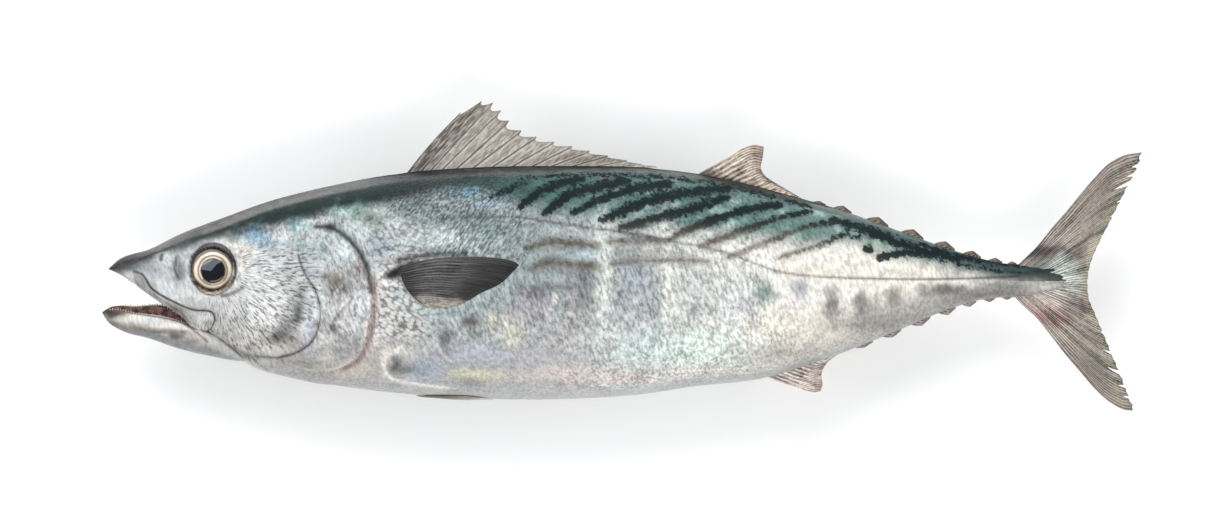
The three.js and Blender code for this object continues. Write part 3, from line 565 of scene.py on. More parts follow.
# Pale folds and scratches: points, half width in millimetres, strength.
PALE_FOLD = (230, 225, 219)
PALE_LINES = [
    ([(0.2664, 0.02), (0.2668, -0.09), (0.2655, -0.18), (0.2625, -0.257), (0.2562, -0.32)], 0.8, 0.8),
    ([(0.2575, -0.035), (0.2575, -0.119), (0.2555, -0.2), (0.2515, -0.272), (0.2485, -0.312)], 0.6, 0.7),
    ([(0.264, -0.004), (0.2665, 0.023), (0.2735, 0.054), (0.2836, 0.0745), (0.3, 0.088)], 1.1, 0.85),
    ([(0.289, 0.111), (0.3, 0.12), (0.316, 0.118)], 1.6, 0.45),
    ([(0.299, -0.242), (0.282, -0.288), (0.2735, -0.318), (0.2716, -0.365), (0.277, -0.403), (0.304, -0.433),
      (0.354, -0.457)], 0.9, 0.75),
    ([(0.322, -0.2), (0.321, -0.25), (0.33, -0.31), (0.343, -0.36)], 0.8, 0.5),
    ([(0.4352, -0.027), (0.4344, -0.088), (0.427, -0.142), (0.4284, -0.196)], 0.45, 0.8),
    ([(0.472, -0.08), (0.478, -0.15), (0.489, -0.211), (0.503, -0.272)], 0.5, 0.7),
    ([(0.3864, -0.14), (0.3881, -0.188)], 0.6, 0.7), ([(0.452, -0.1), (0.449, -0.16)], 0.4, 0.5),
    ([(0.4, -0.16), (0.409, -0.2), (0.413, -0.25)], 0.4, 0.5), ([(0.51, -0.06), (0.516, -0.1)], 0.4, 0.6),
    ([(0.2345, -0.005), (0.225, -0.045), (0.22, -0.08)], 0.5, 0.55),
    ([(0.25, -0.02), (0.2395, -0.06), (0.23, -0.115), (0.222, -0.15)], 0.5, 0.7),
]
# At shares of the length: how soft the teal's edge is, and how deep the grey band of painted reflection along the
# back and the black feet of the two back fins are, in millimetres.
TEAL_SOFTNESS = ([0, 0.2, 0.36], [0.016, 0.03, 0.055])
BACK_REFLECTION_DEPTH = ([0, 0.05, 0.1, 0.9], [2, 3.6, 5.6, 3.6])
FIN_FOOT = ([0.25, 0.3, 0.36, 0.5, 0.56, 0.6, 0.66, 0.71], [0, 3.8, 3.0, 2.2, 1.4, 4.2, 3.2, 0])
SLIT = [(0.2635, 0.0), (0.2645, -0.107), (0.2615, -0.181), (0.257, -0.251), (0.249, -0.325), (0.232, -0.372)]


def graded(colours, at):
    """A colour that changes with a value, from the colours at some of its values."""
    stops = np.array([light(colour) for _, colour in colours])
    return np.column_stack([np.interp(at, [stop for stop, _ in colours], stops[:, k]) for k in range(3)])


def painted(colour, *layers):
    """A colour with others laid over it in turn, each with how much of it there is at each point."""
    colour = light(colour)
    for over, amount in layers:
        colour = colour + (light(over) - colour) * np.clip(amount, 0, 1)[:, None]
    return colour


def mark(mesh, **values):
    """Keeps values for each point of a mesh: a colour, a direction (any name that ends in way) or a number."""
    for name, value in values.items():
        kind = "FLOAT" if value.ndim == 1 else "FLOAT_VECTOR" if name.endswith("way") else "FLOAT_COLOR"
        slot = {"FLOAT": "value", "FLOAT_VECTOR": "vector", "FLOAT_COLOR": "color"}[kind]
        if kind == "FLOAT_COLOR":
            value = np.column_stack([value, np.ones(len(value))])
        mesh.attributes.new(name, kind, "POINT").data.foreach_set(slot, value.astype(np.float32).ravel())


def patched(colour, x, y, patches, fine):
    """Lays soft patches over a colour, with edges made ragged by fine noise."""
    ragged = np.clip(1 + 1.1 * fine, 0.3, 2)
    for share, height, long, tall, tint, strength in patches:
        reach = ((x - x_at(share)) / (long * MM)) ** 2 + ((y - height * DEPTH) / (tall * MM)) ** 2
        colour = painted(colour, (tint, strength * np.exp(-0.8 * (reach * ragged) ** 1.35)))
    return colour


def paint_skin(mesh, inside=None, creases=CREASES, patches=PATCHES):
    """Lays the skin's colours and marks on a mesh as attributes, from where each point is on the fish."""
    places = vectors(mesh, "co")
    x, y = places[:, 0], places[:, 1]
    share = np.clip(share_at(x), 0, 1)
    height = y / DEPTH
    top, middle, bottom = section_at(share)
    rise = np.where(y > middle, (y - middle) / (top - middle), (y - middle) / (middle - bottom))
    wobble, fine = unevenness(places, 45), unevenness(places, 160, 7)

    # silver flank, teal back with pale flecks, and the patches
    teal_line = TEAL_LINE(share) + 0.018 * wobble + 0.012 * fine
    soft = np.interp(share, *TEAL_SOFTNESS)
    fleck = 0.6 * smooth(0.05, 0.6, fine) * smooth(0.4, 0.52, share)
    colour = painted(graded(SILVER, share),
                     (graded(LOW_SILVER, share), smooth(-0.1, -0.75, rise + 0.12 * wobble)),
                     (painted(graded(TEAL, share), (TEAL_FLECK, fleck)),
                      smooth(teal_line - soft, teal_line + soft, height)))
    colour = patched(colour, x, y, patches, fine)

    # grey band of painted reflection along the edge of the back, dark middle of the back, dark feet of the back
    # fins, and painted reflection along the edge of the belly
    under_back = top - y
    back_reflection_depth = np.interp(share, *BACK_REFLECTION_DEPTH) * MM * (1 + 0.15 * wobble)
    # rim: the grey band of painted reflection along the edge of the back
    rim = smooth(back_reflection_depth * 1.25, back_reflection_depth * 0.8, under_back)
    from_middle = np.abs(places[:, 2] - MIDDLE) * (1 + 0.4 * wobble + 0.3 * fine)
    ridge = smooth(13 * MM, 3 * MM, from_middle) * (rise > 0) * smooth(0.04, 0.12, share)
    foot_depth = np.interp(share, *FIN_FOOT) * MM * (1 + 0.6 * fine) + 1e-6
    foot = smooth(1.45, 0.35, under_back / foot_depth)
    # under: the band of painted reflection along the edge of the belly
    under = smooth(-0.86, -0.97, rise) * smooth(0.13, 0.2, share)
    membrane = gap_to(SLIT, x, y)
    colour = painted(colour, (graded(BACK_EDGE_REFLECTION, share), rim), (graded(TEAL, share) * 0.8, 0.85 * ridge),
                     ((12, 20, 23), 0.95 * foot), (graded(BELLY_EDGE_REFLECTION, share), under),
                     ((196, 186, 182), 0.8 * bump(membrane, 0.6, 3.0) * (share < 0.3)),
                     ((132, 108, 104), 0.85 * bump(membrane, 0, 1.3) * (share < 0.3)))
    for points, half, strength in PALE_LINES:
        near, along, _ = stroke(points, x, y, 24)
        near = near / MM + 0.25 * np.abs(fine) + 2 * smooth(0.75, 1, along) + 2 * smooth(0.12, 0, along)
        colour = painted(colour, (PALE_FOLD, strength * (1 + 0.4 * wobble) * bump(near, 0, half * 1.2)))

    # stripes, which the material inks in, and the creases, which it darkens with painted shade
    stripe, crease = np.zeros(len(x)), np.zeros(len(x))
    for points, half, strength in STRIPES:
        near, along, _ = stroke(points, x, y, 16)
        swelling = 0.86 * smooth(-0.5, 0.3, along) * smooth(1.5, 0.8, along) * (1 + 0.5 * wobble)
        stripe = np.maximum(stripe, strength * np.clip(1 - 0.5 * near / (half * MM * swelling + 1e-9), 0, 1))
    warm = smooth(0.3, 0.14, height + 0.03 * wobble) * smooth(0.4, 0.42, share) * smooth(0.72, 0.66, share)
    for points, half, strength in creases:
        near = gap_to(points, x, y, 24) + 0.3 * np.abs(fine)
        crease = np.maximum(crease, strength * (1 - 0.25 * np.abs(wobble)) * bump(near, 0, half * 1.25))
    crease = np.maximum(crease, 0.75 * foot * smooth(11 * MM, 3 * MM, from_middle))

    # scales behind the head, the pebbled patch behind the slit, and the cheek's wrinkles, which run out of the eye
    scaly = smooth(0.26, 0.29, share) * smooth(0.44, 0.36, share + 0.04 * wobble) * smooth(-0.02, 0.1, height)
    pebbled = smooth(0.255, 0.27, share) * smooth(0.345, 0.3, share + 0.02 * wobble) * smooth(-0.3, -0.2, height)
    pebbled = pebbled * smooth(0.3, 0.24, height)
    from_eye = np.hypot(x - EYE_AT[0], y - EYE_AT[1])
    bearing = np.arctan2(y - EYE_AT[1], x - EYE_AT[0])
    wrinkled = smooth(0.0155, 0.019, from_eye) * smooth(0.075, 0.055, from_eye) * smooth(0.225, 0.205, share)
    wrinkled = wrinkled * smooth(0.09, 0.12, share - 0.1 * height) * smooth(0.19, 0.12, height)
    cheek_way = np.column_stack([from_eye * 0.42, bearing * 0.062, y * 0])

    # lids and rims of the eye; the two near-black rings at the socket's edge and round the ball are painted shade
    edge = from_eye / MM - 13.3 - 1.5 * np.sin(bearing) ** 2
    lid = 0.9 * smooth(0.6, -0.4, edge)
    colour = painted(colour,
                     ((206, 210, 216), 0.7 * bump(edge, 1.6, 1.0) * smooth(-0.2, 0.6, np.cos(bearing))),
                     ((142, 138, 138), lid * smooth(-0.1, 0.4, np.sin(bearing))),
                     ((206, 186, 164), lid * smooth(-0.2, -0.6, np.sin(bearing))),
                     ((22, 20, 20), 0.92 * bump(edge, 0, 0.65)),
                     ((20, 19, 20), 0.9 * bump(from_eye / MM, EYE_RADIUS / MM, 0.45)))

    mouth = np.zeros(len(x)) if inside is None else smooth(0.02, 0.16, inside)
    smooth_skin = np.max([np.maximum(rim, under) * 0.75, smooth(0.15, 0.11, share) * 0.6,
                          smooth(-0.2, -0.32, height) * smooth(0.5, 0.42, share) * 0.6,
                          0.55 * smooth(0.58, 0.68, share + 0.05 * wobble)], axis=0)
    mark(mesh, skin_colour=colour, stripe=stripe, warm=warm, crease=crease, scaly=scaly, pebbled=pebbled,
         wrinkled=wrinkled, mouth=mouth, smooth_skin=smooth_skin, cheek_way=cheek_way)


def mounted(piece, slot, *node):
    """Hangs a piece on the fish's one body and hides the imported part of the node it stands for, if it has one.
    `slot`, the finish it takes, is not used.
    """
    if node:
        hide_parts(*node)
    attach(piece, "root")


def attribute(name):
    return add("Attribute", {"attribute_name": name})


def number(name):
    return attribute(name).outputs["Fac"]


def spread(value, low, high, to_low=0.0, to_high=1.0):
    settings = {"interpolation_type": "SMOOTHSTEP"}
    return add("MapRange", settings, i0=value, i1=low, i2=high, i3=to_low, i4=to_high).outputs[0]


def maths(kind):
    """A node sum that takes one value, or several in turn."""
    def joined(first, *others):
        if not others:
            return add("Math", {"operation": kind}, i0=first).outputs[0]
        for other in others:
            first = add("Math", {"operation": kind}, i0=first, i1=other).outputs[0]
        return first

    return joined


plus, minus, times, larger = maths("ADD"), maths("SUBTRACT"), maths("MULTIPLY"), maths("MAXIMUM")


def shaded(colour, shade):
    """A colour darkened or lightened by a value round 1."""
    gray = add("CombineColor", i0=shade, i1=shade, i2=shade).outputs[0]
    return mixed(1.0, colour, gray, "MULTIPLY")


def drawn_along(angle, stretch):
    """Place on the skin, with patterns drawn out along a direction seen from the side."""
    return add("Mapping", {"vector_type": "TEXTURE"}, Vector=place, Rotation=(0, 0, angle),
               Scale=(stretch, 1, 1)).outputs[0]


def cells(angle, stretch, scale, randomness):
    return add("TexVoronoi", {"feature": "F1"}, Vector=drawn_along(angle, stretch), Scale=scale,
               Randomness=randomness).outputs["Distance"]


shader, link, add, place, fish_skin = new_material("fish_skin", Specular_IOR_Level=0.2, Coat_Roughness=0.12)
hatch = cloudy(760.0, 1.0, drawn_along(1.0, 3.2), Roughness=0.45)
upright = cloudy(620.0, 2.0, drawn_along(1.9, 2.6), Roughness=0.5)
fleck = cloudy(1500.0, 2.0)
cloud = cloudy(110.0, 4.0, Roughness=0.6)
smudge = cloudy(300.0, 4.0, Roughness=0.65)
cheek = cloudy(560.0, 2.0, attribute("cheek_way").outputs["Vector"], Distortion=0.6)
small_scales = cells(1.0, 1.7, 640.0, 0.8)
pebbles = cells(2.6, 1.6, 520.0, 0.9)

# light and dark grain of each kind of skin, with the pebbles painted light in the middle and dark at the edge as
# painted shade of their domes, and the dark gaps between its scales, pebbles and wrinkles, which are painted shade
grain = mixed(number("scaly"), spread(upright, 0.34, 0.66, 0.66, 1.22), spread(hatch, 0.4, 0.6, 0.5, 1.3))
grain = mixed(number("pebbled"), grain, spread(pebbles, 0.8, 0.3, 0.66, 1.12))
grain = mixed(number("wrinkled"), grain, spread(cheek, 0.36, 0.6, 0.66, 1.16))
mottle = plus(spread(fleck, 0.3, 0.7, -0.13, 0.13), spread(smudge, 0.3, 0.7, -0.17, 0.13),
              spread(cloud, 0.3, 0.7, -0.2, 0.14))
shade = times(plus(minus(grain, 0.97), mottle), spread(number("smooth_skin"), 0, 1, 1.0, 0.3))
colour = shaded(attribute("skin_colour").outputs["Color"], plus(shade, 0.98))
scale_gap = times(spread(small_scales, 0.35, 0.7), number("scaly"))
pebble_gap = times(spread(pebbles, 0.5, 0.85), number("pebbled"))
wrinkle = times(spread(cheek, 0.44, 0.36), number("wrinkled"))
gaps = larger(times(scale_gap, 0.6), times(larger(pebble_gap, wrinkle), 0.75))
# the gaps darkened as painted shade
colour = mixed(times(gaps, 0.62), colour, mixed(1.0, colour, (0.16, 0.17, 0.18, 1), "MULTIPLY"))

# stripes: crisp and dark on the back, faded and brown on the flank
ragged = plus(number("stripe"), spread(upright, 0.25, 0.75, -0.13, 0.13), spread(smudge, 0.25, 0.75, -0.22, 0.22))
warm = number("warm")
crisp, faded = spread(ragged, 0.4, 0.74, 0.0, 0.97), spread(ragged, 0.22, 1.0, 0.0, 0.92)
mask = plus(times(crisp, minus(1.0, warm)), times(faded, warm))
dark_ink = mixed(spread(ragged, 0.5, 0.9), (0.01, 0.036, 0.036, 1), (0.001, 0.006, 0.008, 1))
colour = mixed(mask, colour, mixed(warm, dark_ink, (0.075, 0.055, 0.032, 1)))
# painted shade in the creases, grooves and seams
colour = mixed(number("crease"), colour, (0.018, 0.015, 0.015, 1))
gum = mixed(spread(smudge, 0.35, 0.65), (0.022, 0.009, 0.008, 1), (0.17, 0.085, 0.068, 1))
link(mixed(number("mouth"), colour, gum), shader.inputs["Base Color"])
height = minus(spread(smudge, 0.25, 0.75, 0, 0.5), gaps)
link(add("Bump", Height=height, Distance=0.0004, Strength=0.6).outputs[0], shader.inputs["Normal"])
rough = larger(spread(smudge, 0.3, 0.7, 0.46, 0.3), number("crease"), times(mask, 0.8))
link(rough, shader.inputs["Roughness"])
link(times(minus(1.0, larger(mask, number("crease"))), 0.16), shader.inputs["Coat Weight"])

BODY_AROUND, BODY_ALONG = 280, 350
body_shares = curve([(0, SNOUT), (0.02, 0.0085), (0.45, 0.29), (0.98, 0.9265), (1, STEM_END)])
bm, share, turn, inside = drawn_out(BODY_AROUND, BODY_ALONG, body_shares, body_ring)
body = object_from(bm, "fish_body", fish_skin)
co = vectors(body.data, "co")
swell = relief(co[:, 0], co[:, 1], turn, share) * MM * (1 - smooth(0, 0.1, inside))
co += vectors(body.data, "normal") * swell[:, None]
x, y, z = co.T
under_fin = (stroke(PECTORAL_UPPER, x, y)[2] < 0) & (stroke(PECTORAL_TRAIL, x, y)[2] < 0)
under_fin &= (x > x_at(0.292)) & (x < x_at(0.402)) & (z < 0.02)
co[:, 2] = np.maximum(z, np.where(under_fin, FIN_BED, 0))
moved(body.data, co)
paint_skin(body.data, inside)
mounted(body, "skin", "body")

# ---- Lower jaw ----
# The lower jaw is one bone each side, joined at the chin and covered with skin. Its lip runs round a dark red
# lining, which stands up inside the lip as a gum and falls to the floor of the mouth.
JAW_END = 0.14  # where the jaw ends, as a share of the fish's length
JAW_WALL = 3 * MM
JAW_MIDDLE = 0.3  # height of its widest place, from lip to chin
lip_curve = curve([(0, -0.124), (0.01, -0.114), (0.033, -0.131), (0.058, -0.146), (0.078, -0.168),
                   (0.093, -0.192), (0.11, -0.222), (0.127, -0.28), (JAW_END, -0.335)])
chin_curve = curve([(0, -0.124), (0.003, -0.152), (0.017, -0.201), (0.046, -0.24), (0.075, -0.284),
                    (0.104, -0.314), (0.127, -0.333), (JAW_END, -0.336)])
jaw_width_curve = curve([(0, 0), (0.007, 0.034), (0.02, 0.058), (0.033, 0.08), (0.058, 0.121), (0.083, 0.156),
                         (0.1, 0.172), (0.117, 0.16), (0.133, 0.1), (JAW_END, 0)])
jaw_open = curve([(0, 0), (0.012, 0.8), (0.03, 1), (0.1, 1), (0.125, 0.4), (JAW_END, 0)])
gum_height = curve([(0, 0), (0.008, 1.5), (0.033, 4.2), (0.058, 6.8), (0.072, 6), (0.085, 3), (0.1, 0)])


def jaw_ring(share, turn):
    rim, bottom = lip_curve(share) * DEPTH, chin_curve(share) * DEPTH
    middle = rim + (bottom - rim) * JAW_MIDDLE
    amount = np.clip(jaw_open(share), 0, 1)
    width = jaw_width_curve(share) * THICKNESS
    hollow = np.maximum(0, rim - bottom - JAW_WALL)
    y, z, inside = ring_point(-turn, width, width * LIP_INSET * amount, middle - bottom, rim - middle, hollow,
                              amount)
    sunk = hollow * amount * np.sin(inside * np.pi / 2)
    gum = (gum_height(share) * MM + sunk) * bump(inside, 0.3, 0.2) * smooth(0, 0.08, inside)
    return middle - y + gum, -z, inside


JAW_SKIN = [(0, (50, 47, 45)), (0.008, (84, 80, 76)), (0.02, (160, 152, 142)), (0.03, (204, 198, 188)),
            (0.06, (218, 214, 206)), (0.09, (196, 192, 188)), (0.14, (160, 162, 162))]
JAW_PATCHES = [
    (0.008, -0.145, 6, 5, (44, 38, 34), 0.88), (0.03, -0.158, 10, 2.4, (226, 222, 212), 0.7),
    (0.055, -0.166, 8, 1.6, (150, 112, 84), 0.4), (0.075, -0.185, 8, 2.6, (216, 214, 206), 0.7),
    (0.042, -0.196, 9, 1.8, (66, 62, 58), 0.75), (0.063, -0.205, 8, 2, (84, 78, 72), 0.7),
    (0.077, -0.212, 6, 1.8, (70, 66, 62), 0.7), (0.055, -0.182, 9, 2, (228, 224, 214), 0.6),
    (0.03, -0.185, 6, 2, (120, 112, 100), 0.5), (0.085, -0.24, 10, 3, (176, 170, 166), 0.5),
    (0.1, -0.29, 10, 3, (90, 88, 86), 0.4), (0.018, -0.125, 5, 1.6, (52, 42, 38), 0.8),
    (0.034, -0.207, 5, 1.4, (74, 68, 62), 0.7), (0.05, -0.212, 6, 1.2, (58, 54, 50), 0.7),
    (0.07, -0.235, 8, 1.6, (78, 74, 70), 0.6), (0.0845, -0.258, 8, 3, (86, 85, 84), 0.7),
    (0.074, -0.226, 5, 1.6, (52, 46, 42), 0.7), (0.047, -0.16, 10, 1.2, (196, 206, 216), 0.6),
]
JAW_CREASE = [(0.078, -0.165), (0.086, -0.19), (0.094, -0.22), (0.102, -0.252)]

bm, share, turn, inside = drawn_out(144, 96, curve([(0, 0), (0.03, 0.001), (0.5, 0.06), (1, JAW_END)]), jaw_ring)
jaw = object_from(bm, "jaw", fish_skin)
co = vectors(jaw.data, "co")
near = gap_to(JAW_CREASE, co[:, 0], co[:, 1])
co -= vectors(jaw.data, "normal") * (0.5 * MM * bump(near, 0, 0.9) * (inside <= 0))[:, None]
moved(jaw.data, co)
fine = unevenness(co, 160, 7)
share = share_at(co[:, 0])
chin, lip = chin_curve(share) * DEPTH, lip_curve(share) * DEPTH
rise = (co[:, 1] - chin) / np.maximum(lip - chin, MM)
colour = painted(patched(graded(JAW_SKIN, share), co[:, 0], co[:, 1], JAW_PATCHES, fine),
                 ((126, 127, 128), smooth(0.42, 0.16, rise + 0.1 * fine) * smooth(0, 0.03, share)),
                 ((92, 88, 84), 0.8 * bump(rise, 0.98, 0.035) * (inside <= 0)))
nothing = np.zeros(len(co))
# painted shade along the jaw's crease
mark(jaw.data, skin_colour=colour, crease=0.65 * bump(near, 0, 0.8) * (inside <= 0),
     mouth=smooth(0.0, 0.06, inside), smooth_skin=nothing + 0.7, cheek_way=co * 0,
     **dict.fromkeys(("stripe", "warm", "scaly", "pebbled", "wrinkled"), nothing))
mounted(jaw, "skin", "lower_jaw")

# ---- Teeth ----
# Both jaws carry one close row of small pointed teeth each side, set in the edge of the lip, and the lower jaw
# has a second row on its gum.
TOOTH_HEIGHT, TOOTH_RADIUS, TOOTH_TIP, TOOTH_SIDES = 1.5 * MM, 0.5 * MM, 0.06 * MM, 6
shader, link, add, place, tooth_enamel = new_material("tooth_enamel", Roughness=0.3)
link(mixed(cloudy(900.0, 2.0), (0.42, 0.34, 0.25, 1), (0.78, 0.74, 0.66, 1)), shader.inputs["Base Color"])


def row_of_teeth(bm, count, from_share, to_share, foot, up):
    """Sets teeth along a lip: `foot(share)` gives the height and the half width, in metres, where one stands."""
    for i in range(count):
        share = from_share + (to_share - from_share) * i / (count - 1)
        height, width = foot(share)
        size = TOOTH_HEIGHT * (0.75 + 0.25 * np.sin(i * 2.4))
        lean = Matrix.Rotation(-up * np.pi / 2 + 0.15 * np.sin(i * 1.7), 3, "X")
        for side in (1, -1):
            tooth = bmesh.ops.create_cone(bm, cap_ends=True, segments=TOOTH_SIDES, radius1=TOOTH_RADIUS,
                                          radius2=TOOTH_TIP, depth=size)["verts"]
            bmesh.ops.rotate(bm, verts=tooth, cent=(0, 0, 0), matrix=lean)
            bmesh.ops.translate(bm, verts=tooth, vec=(x_at(share), height + up * size * 0.32,
                                                      MIDDLE + side * width))


def lower_lip(share):
    return lip_curve(share) * DEPTH, jaw_width_curve(share) * THICKNESS * LIP_INSET * 0.97


def gum_top(share):
    return (lip_curve(share) * DEPTH + gum_height(share) * MM * 0.96,
            jaw_width_curve(share) * THICKNESS * LIP_INSET * 0.88)


def upper_lip(share):
    return belly_at(share), lip_at(share)[0] * 0.97


for name, rows in (("lower_teeth", ((30, 0.008, 0.082, lower_lip, 1), (24, 0.02, 0.074, gum_top, 1))),
                   ("upper_teeth", ((24, 0.026, 0.088, upper_lip, -1),))):
    bm = bmesh.new()
    for row in rows:
        row_of_teeth(bm, *row)
    bmesh.ops.recalc_face_normals(bm, faces=bm.faces)
    mounted(object_from(bm, name, tooth_enamel), "skin")

# ---- Eyes ----
# Each eye is a flattened ball set in its socket: a black lens, a ring of cream and gold round it, a brown ring
# and a dark edge, all under a clear wet skin.
SIDES = (("left", 1), ("right", -1))
EYE_DEPTH, EYE_PROUD = 9 * MM, 1.6 * MM  # half its thickness, and how far it stands out of the head
PUPIL = 7.4
PUPIL_DROP = 0.8  # how far the pupil and its rings sit below the ball's middle, in millimetres
RINGS = [(0, (9, 15, 24)), (6.9, (8, 12, 18)), (7.25, (120, 106, 90)), (7.7, (158, 142, 120)),
         (8.7, (132, 116, 96)), (9.1, (216, 204, 182)), (10.4, (234, 224, 206)), (10.9, (190, 164, 132)),
         (11.5, (118, 98, 80)), (12.1, (84, 72, 66)), (12.5, (24, 21, 21))]
GLARE = [(-7.2, -0.2), (-1.0, -1.0), (2.3, 2.8), (5.2, 4.2)]  # lower edge of the pale reflection in the lens
shader, link, add, place, eye_skin = new_material(
    "eye_skin", Roughness=0.12, Specular_IOR_Level=0.3, Coat_Weight=0.6, Coat_Roughness=0.03)
speck = add("MapRange", i0=cloudy(1400.0, 3.0), i1=0.3, i2=0.7, i3=0.82, i4=1.14).outputs[0]
link(shaded(attribute("skin_colour").outputs["Color"], speck), shader.inputs["Base Color"])

EYE_AROUND, EYE_ALONG = 96, 80
for word, side in SIDES:
    bm = bmesh.new()
    bmesh.ops.create_uvsphere(bm, u_segments=EYE_AROUND, v_segments=EYE_ALONG, radius=1)
    for vertex in bm.verts:
        out = np.hypot(vertex.co.x, vertex.co.y)
        r = out * EYE_RADIUS / MM
        groove = 0.3 * bump(r, PUPIL, 0.4) + 0.2 * bump(r, 9.3, 0.8) + 0.25 * bump(r, 11.3, 0.5)
        bulge = np.sign(vertex.co.z) * np.sqrt(max(0, 1 - out**6))
        front = side * vertex.co.z > 0
        vertex.co.x *= EYE_RADIUS
        vertex.co.y *= EYE_RADIUS
        vertex.co.z = bulge * EYE_DEPTH - side * front * groove * MM
    bmesh.ops.translate(bm, verts=bm.verts, vec=(
        *EYE_AT, MIDDLE + side * (width_at(EYE_SHARE) + EYE_PROUD - EYE_DEPTH)))
    bmesh.ops.recalc_face_normals(bm, faces=bm.faces)
    eye = object_from(bm, f"{word}_eyeball", eye_skin)
    co = vectors(eye.data, "co")
    x, y = ((co[:, :2] - np.array(EYE_AT)) / MM).T
    r = np.hypot(x, y + PUPIL_DROP) + 0.15 * unevenness(co, 500)
    from_middle = np.hypot(x, y)
    up = y / np.maximum(from_middle, 0.1)
    # painted light on the ball: the pale patch in the lens is painted reflection with a brighter painted highlight
    # streak in it, and the black crescent at the top is painted shade under the lid
    glare = smooth(-0.2, 0.2, y - np.interp(x, *np.array(GLARE).T)) * smooth(7.0, 6.7, r)
    streak = bump(np.abs(y - 0.55 * x - 5.8), 0, 0.6) * smooth(0.5, -1.5, x)
    mark(eye.data, skin_colour=painted(
        graded(RINGS, r), ((226, 218, 204), bump(r, 7.5, 0.35) * smooth(-0.3, 0.5, y - x)),
        ((42, 33, 29), 0.88 * bump(r, 10.9, 1.1) * smooth(-0.35, -0.8, up)),
        ((108, 98, 92), 0.9 * smooth(10.2, 10.8, r) * smooth(0.2, 0.6, up)),
        ((8, 7, 8), smooth(11.0, 11.4, from_middle) * smooth(0.72, 0.84, up)),
        ((92, 94, 106), glare), ((168, 160, 152), 0.8 * glare * streak)))
    mounted(eye, "eye", f"{word}_eye")

# ---- Gill covers ----
# Each gill cover is a thin bony plate under the same silver skin, hinged by flesh behind the cheek and free at its
# rear edge, over the gill slit.
def plate(name, across, along, place, material, rays=1.0):
    """A thin closed piece: a grid of (u, v), both from 0 to 1, given a second face, then put in its place by
    place(u, v, face), where face is 1 outside and -1 inside. Its UV map keeps u, counted in rays, and v."""
    bm = bmesh.new()
    bmesh.ops.create_grid(bm, x_segments=across, y_segments=along, size=0.5)
    outer = bmesh.ops.extrude_face_region(bm, geom=list(bm.faces), use_keep_orig=True)["geom"]
    for part in outer:
        if isinstance(part, bmesh.types.BMVert):
            part.co.z = 1
    uv = bm.loops.layers.uv.new("rays")
    for face in bm.faces:
        for loop in face.loops:
            loop[uv].uv = ((loop.vert.co.x + 0.5) * rays, loop.vert.co.y + 0.5)
    grid = np.array([v.co for v in bm.verts])
    spots = place(grid[:, 0] + 0.5, grid[:, 1] + 0.5, grid[:, 2] * 2 - 1)
    for vertex, spot in zip(bm.verts, np.column_stack(spots)):
        vertex.co = spot
    bmesh.ops.remove_doubles(bm, verts=bm.verts, dist=1e-6)
    bmesh.ops.recalc_face_normals(bm, faces=bm.faces)
    return object_from(bm, name, material)


def between(first, second):
    """A sheet between two lines that are each drawn with v: its (x, y) at u across it."""
    one, other = path(placed(first)), path(placed(second))
    return lambda u, v: one(v) * (1 - u) + other(v) * u


def breadth(sheet, v):
    """How wide a sheet is at v, in millimetres."""
    return np.linalg.norm(sheet(v * 0 + 1, v) - sheet(v * 0, v), axis=0) / MM


UPPER_FOLD = [(0.25, -0.02), (0.243, -0.05), (0.2385, -0.09), (0.231, -0.12), (0.225, -0.155)]
LOWER_FOLD = [(0.221, -0.185), (0.226, -0.22), (0.235, -0.245), (0.2465, -0.3)]
COVER_CREASES = CREASES + [
    (UPPER_FOLD, 0.6, 0.4), (LOWER_FOLD, 0.5, 0.4),
    ([(0.19, 0.09), (0.199, 0.045), (0.206, 0.03), (0.216, 0.028)], 0.5, 0.35),
    ([(0.236, 0.1), (0.242, 0.085), (0.247, 0.05)], 0.8, 0.35)]
cover_sheet = between(CHEEK_EDGE, COVER_EDGE)

for word, side in SIDES:
    def cover_place(u, v, face):
        x, y = cover_sheet(u, v)
        across = breadth(cover_sheet, v)
        swell = 0.9 * smooth(0, 2.2, (1 - u) * across) * smooth(-1.5, 3.5, u * across)
        fold = gap_to(UPPER_FOLD, x, y, 12)
        swell += 0.25 * bump(fold, 1.8, 1.2) - 0.35 * bump(fold, 0, 0.9)
        swell -= 0.3 * bump(gap_to(LOWER_FOLD, x, y, 12), 0, 0.9)
        lift = np.where(face > 0, swell, -0.8)
        return x, y, MIDDLE + side * np.minimum(flank_at(x, y) + lift * MM, MIDDLE)

    cover = plate(f"{word}_cover_plate", 48, 120, cover_place, fish_skin)
    paint_skin(cover.data, creases=COVER_CREASES)
    mounted(cover, "skin", f"{word}_gill_cover")

# ---- Upper jaw bones ----
# A flat bone lies along each side of the upper lip and ends in a rounded blade over the corner of the mouth. It is
# held by skin, with painted shade along the seam at its upper edge.
bone_sheet = between(MAXILLA_UPPER, MAXILLA_LOWER)
BONE_LINE = [(0.05, -0.05), (0.066, -0.095), (0.083, -0.15)]
BONE_CREASES = [(MAXILLA_UPPER, 0.5, 0.9), (MAXILLA_LOWER[5:], 0.5, 0.9), (BONE_LINE, 0.5, 0.6)]
BONE_PATCHES = [
    (0.04, 0.0, 6, 4, (120, 122, 124), 0.7), (0.055, -0.06, 8, 3, (160, 162, 162), 0.6),
    (0.07, -0.115, 9, 3, (104, 98, 92), 0.7), (0.08, -0.15, 8, 3, (90, 80, 74), 0.7),
    (0.1, -0.15, 6, 3.5, (206, 206, 206), 0.8), (0.1, -0.19, 5, 3, (196, 194, 192), 0.7),
    (0.09, -0.135, 6, 2, (186, 186, 186), 0.6), (0.105, -0.175, 3, 3, (128, 126, 126), 0.5),
]
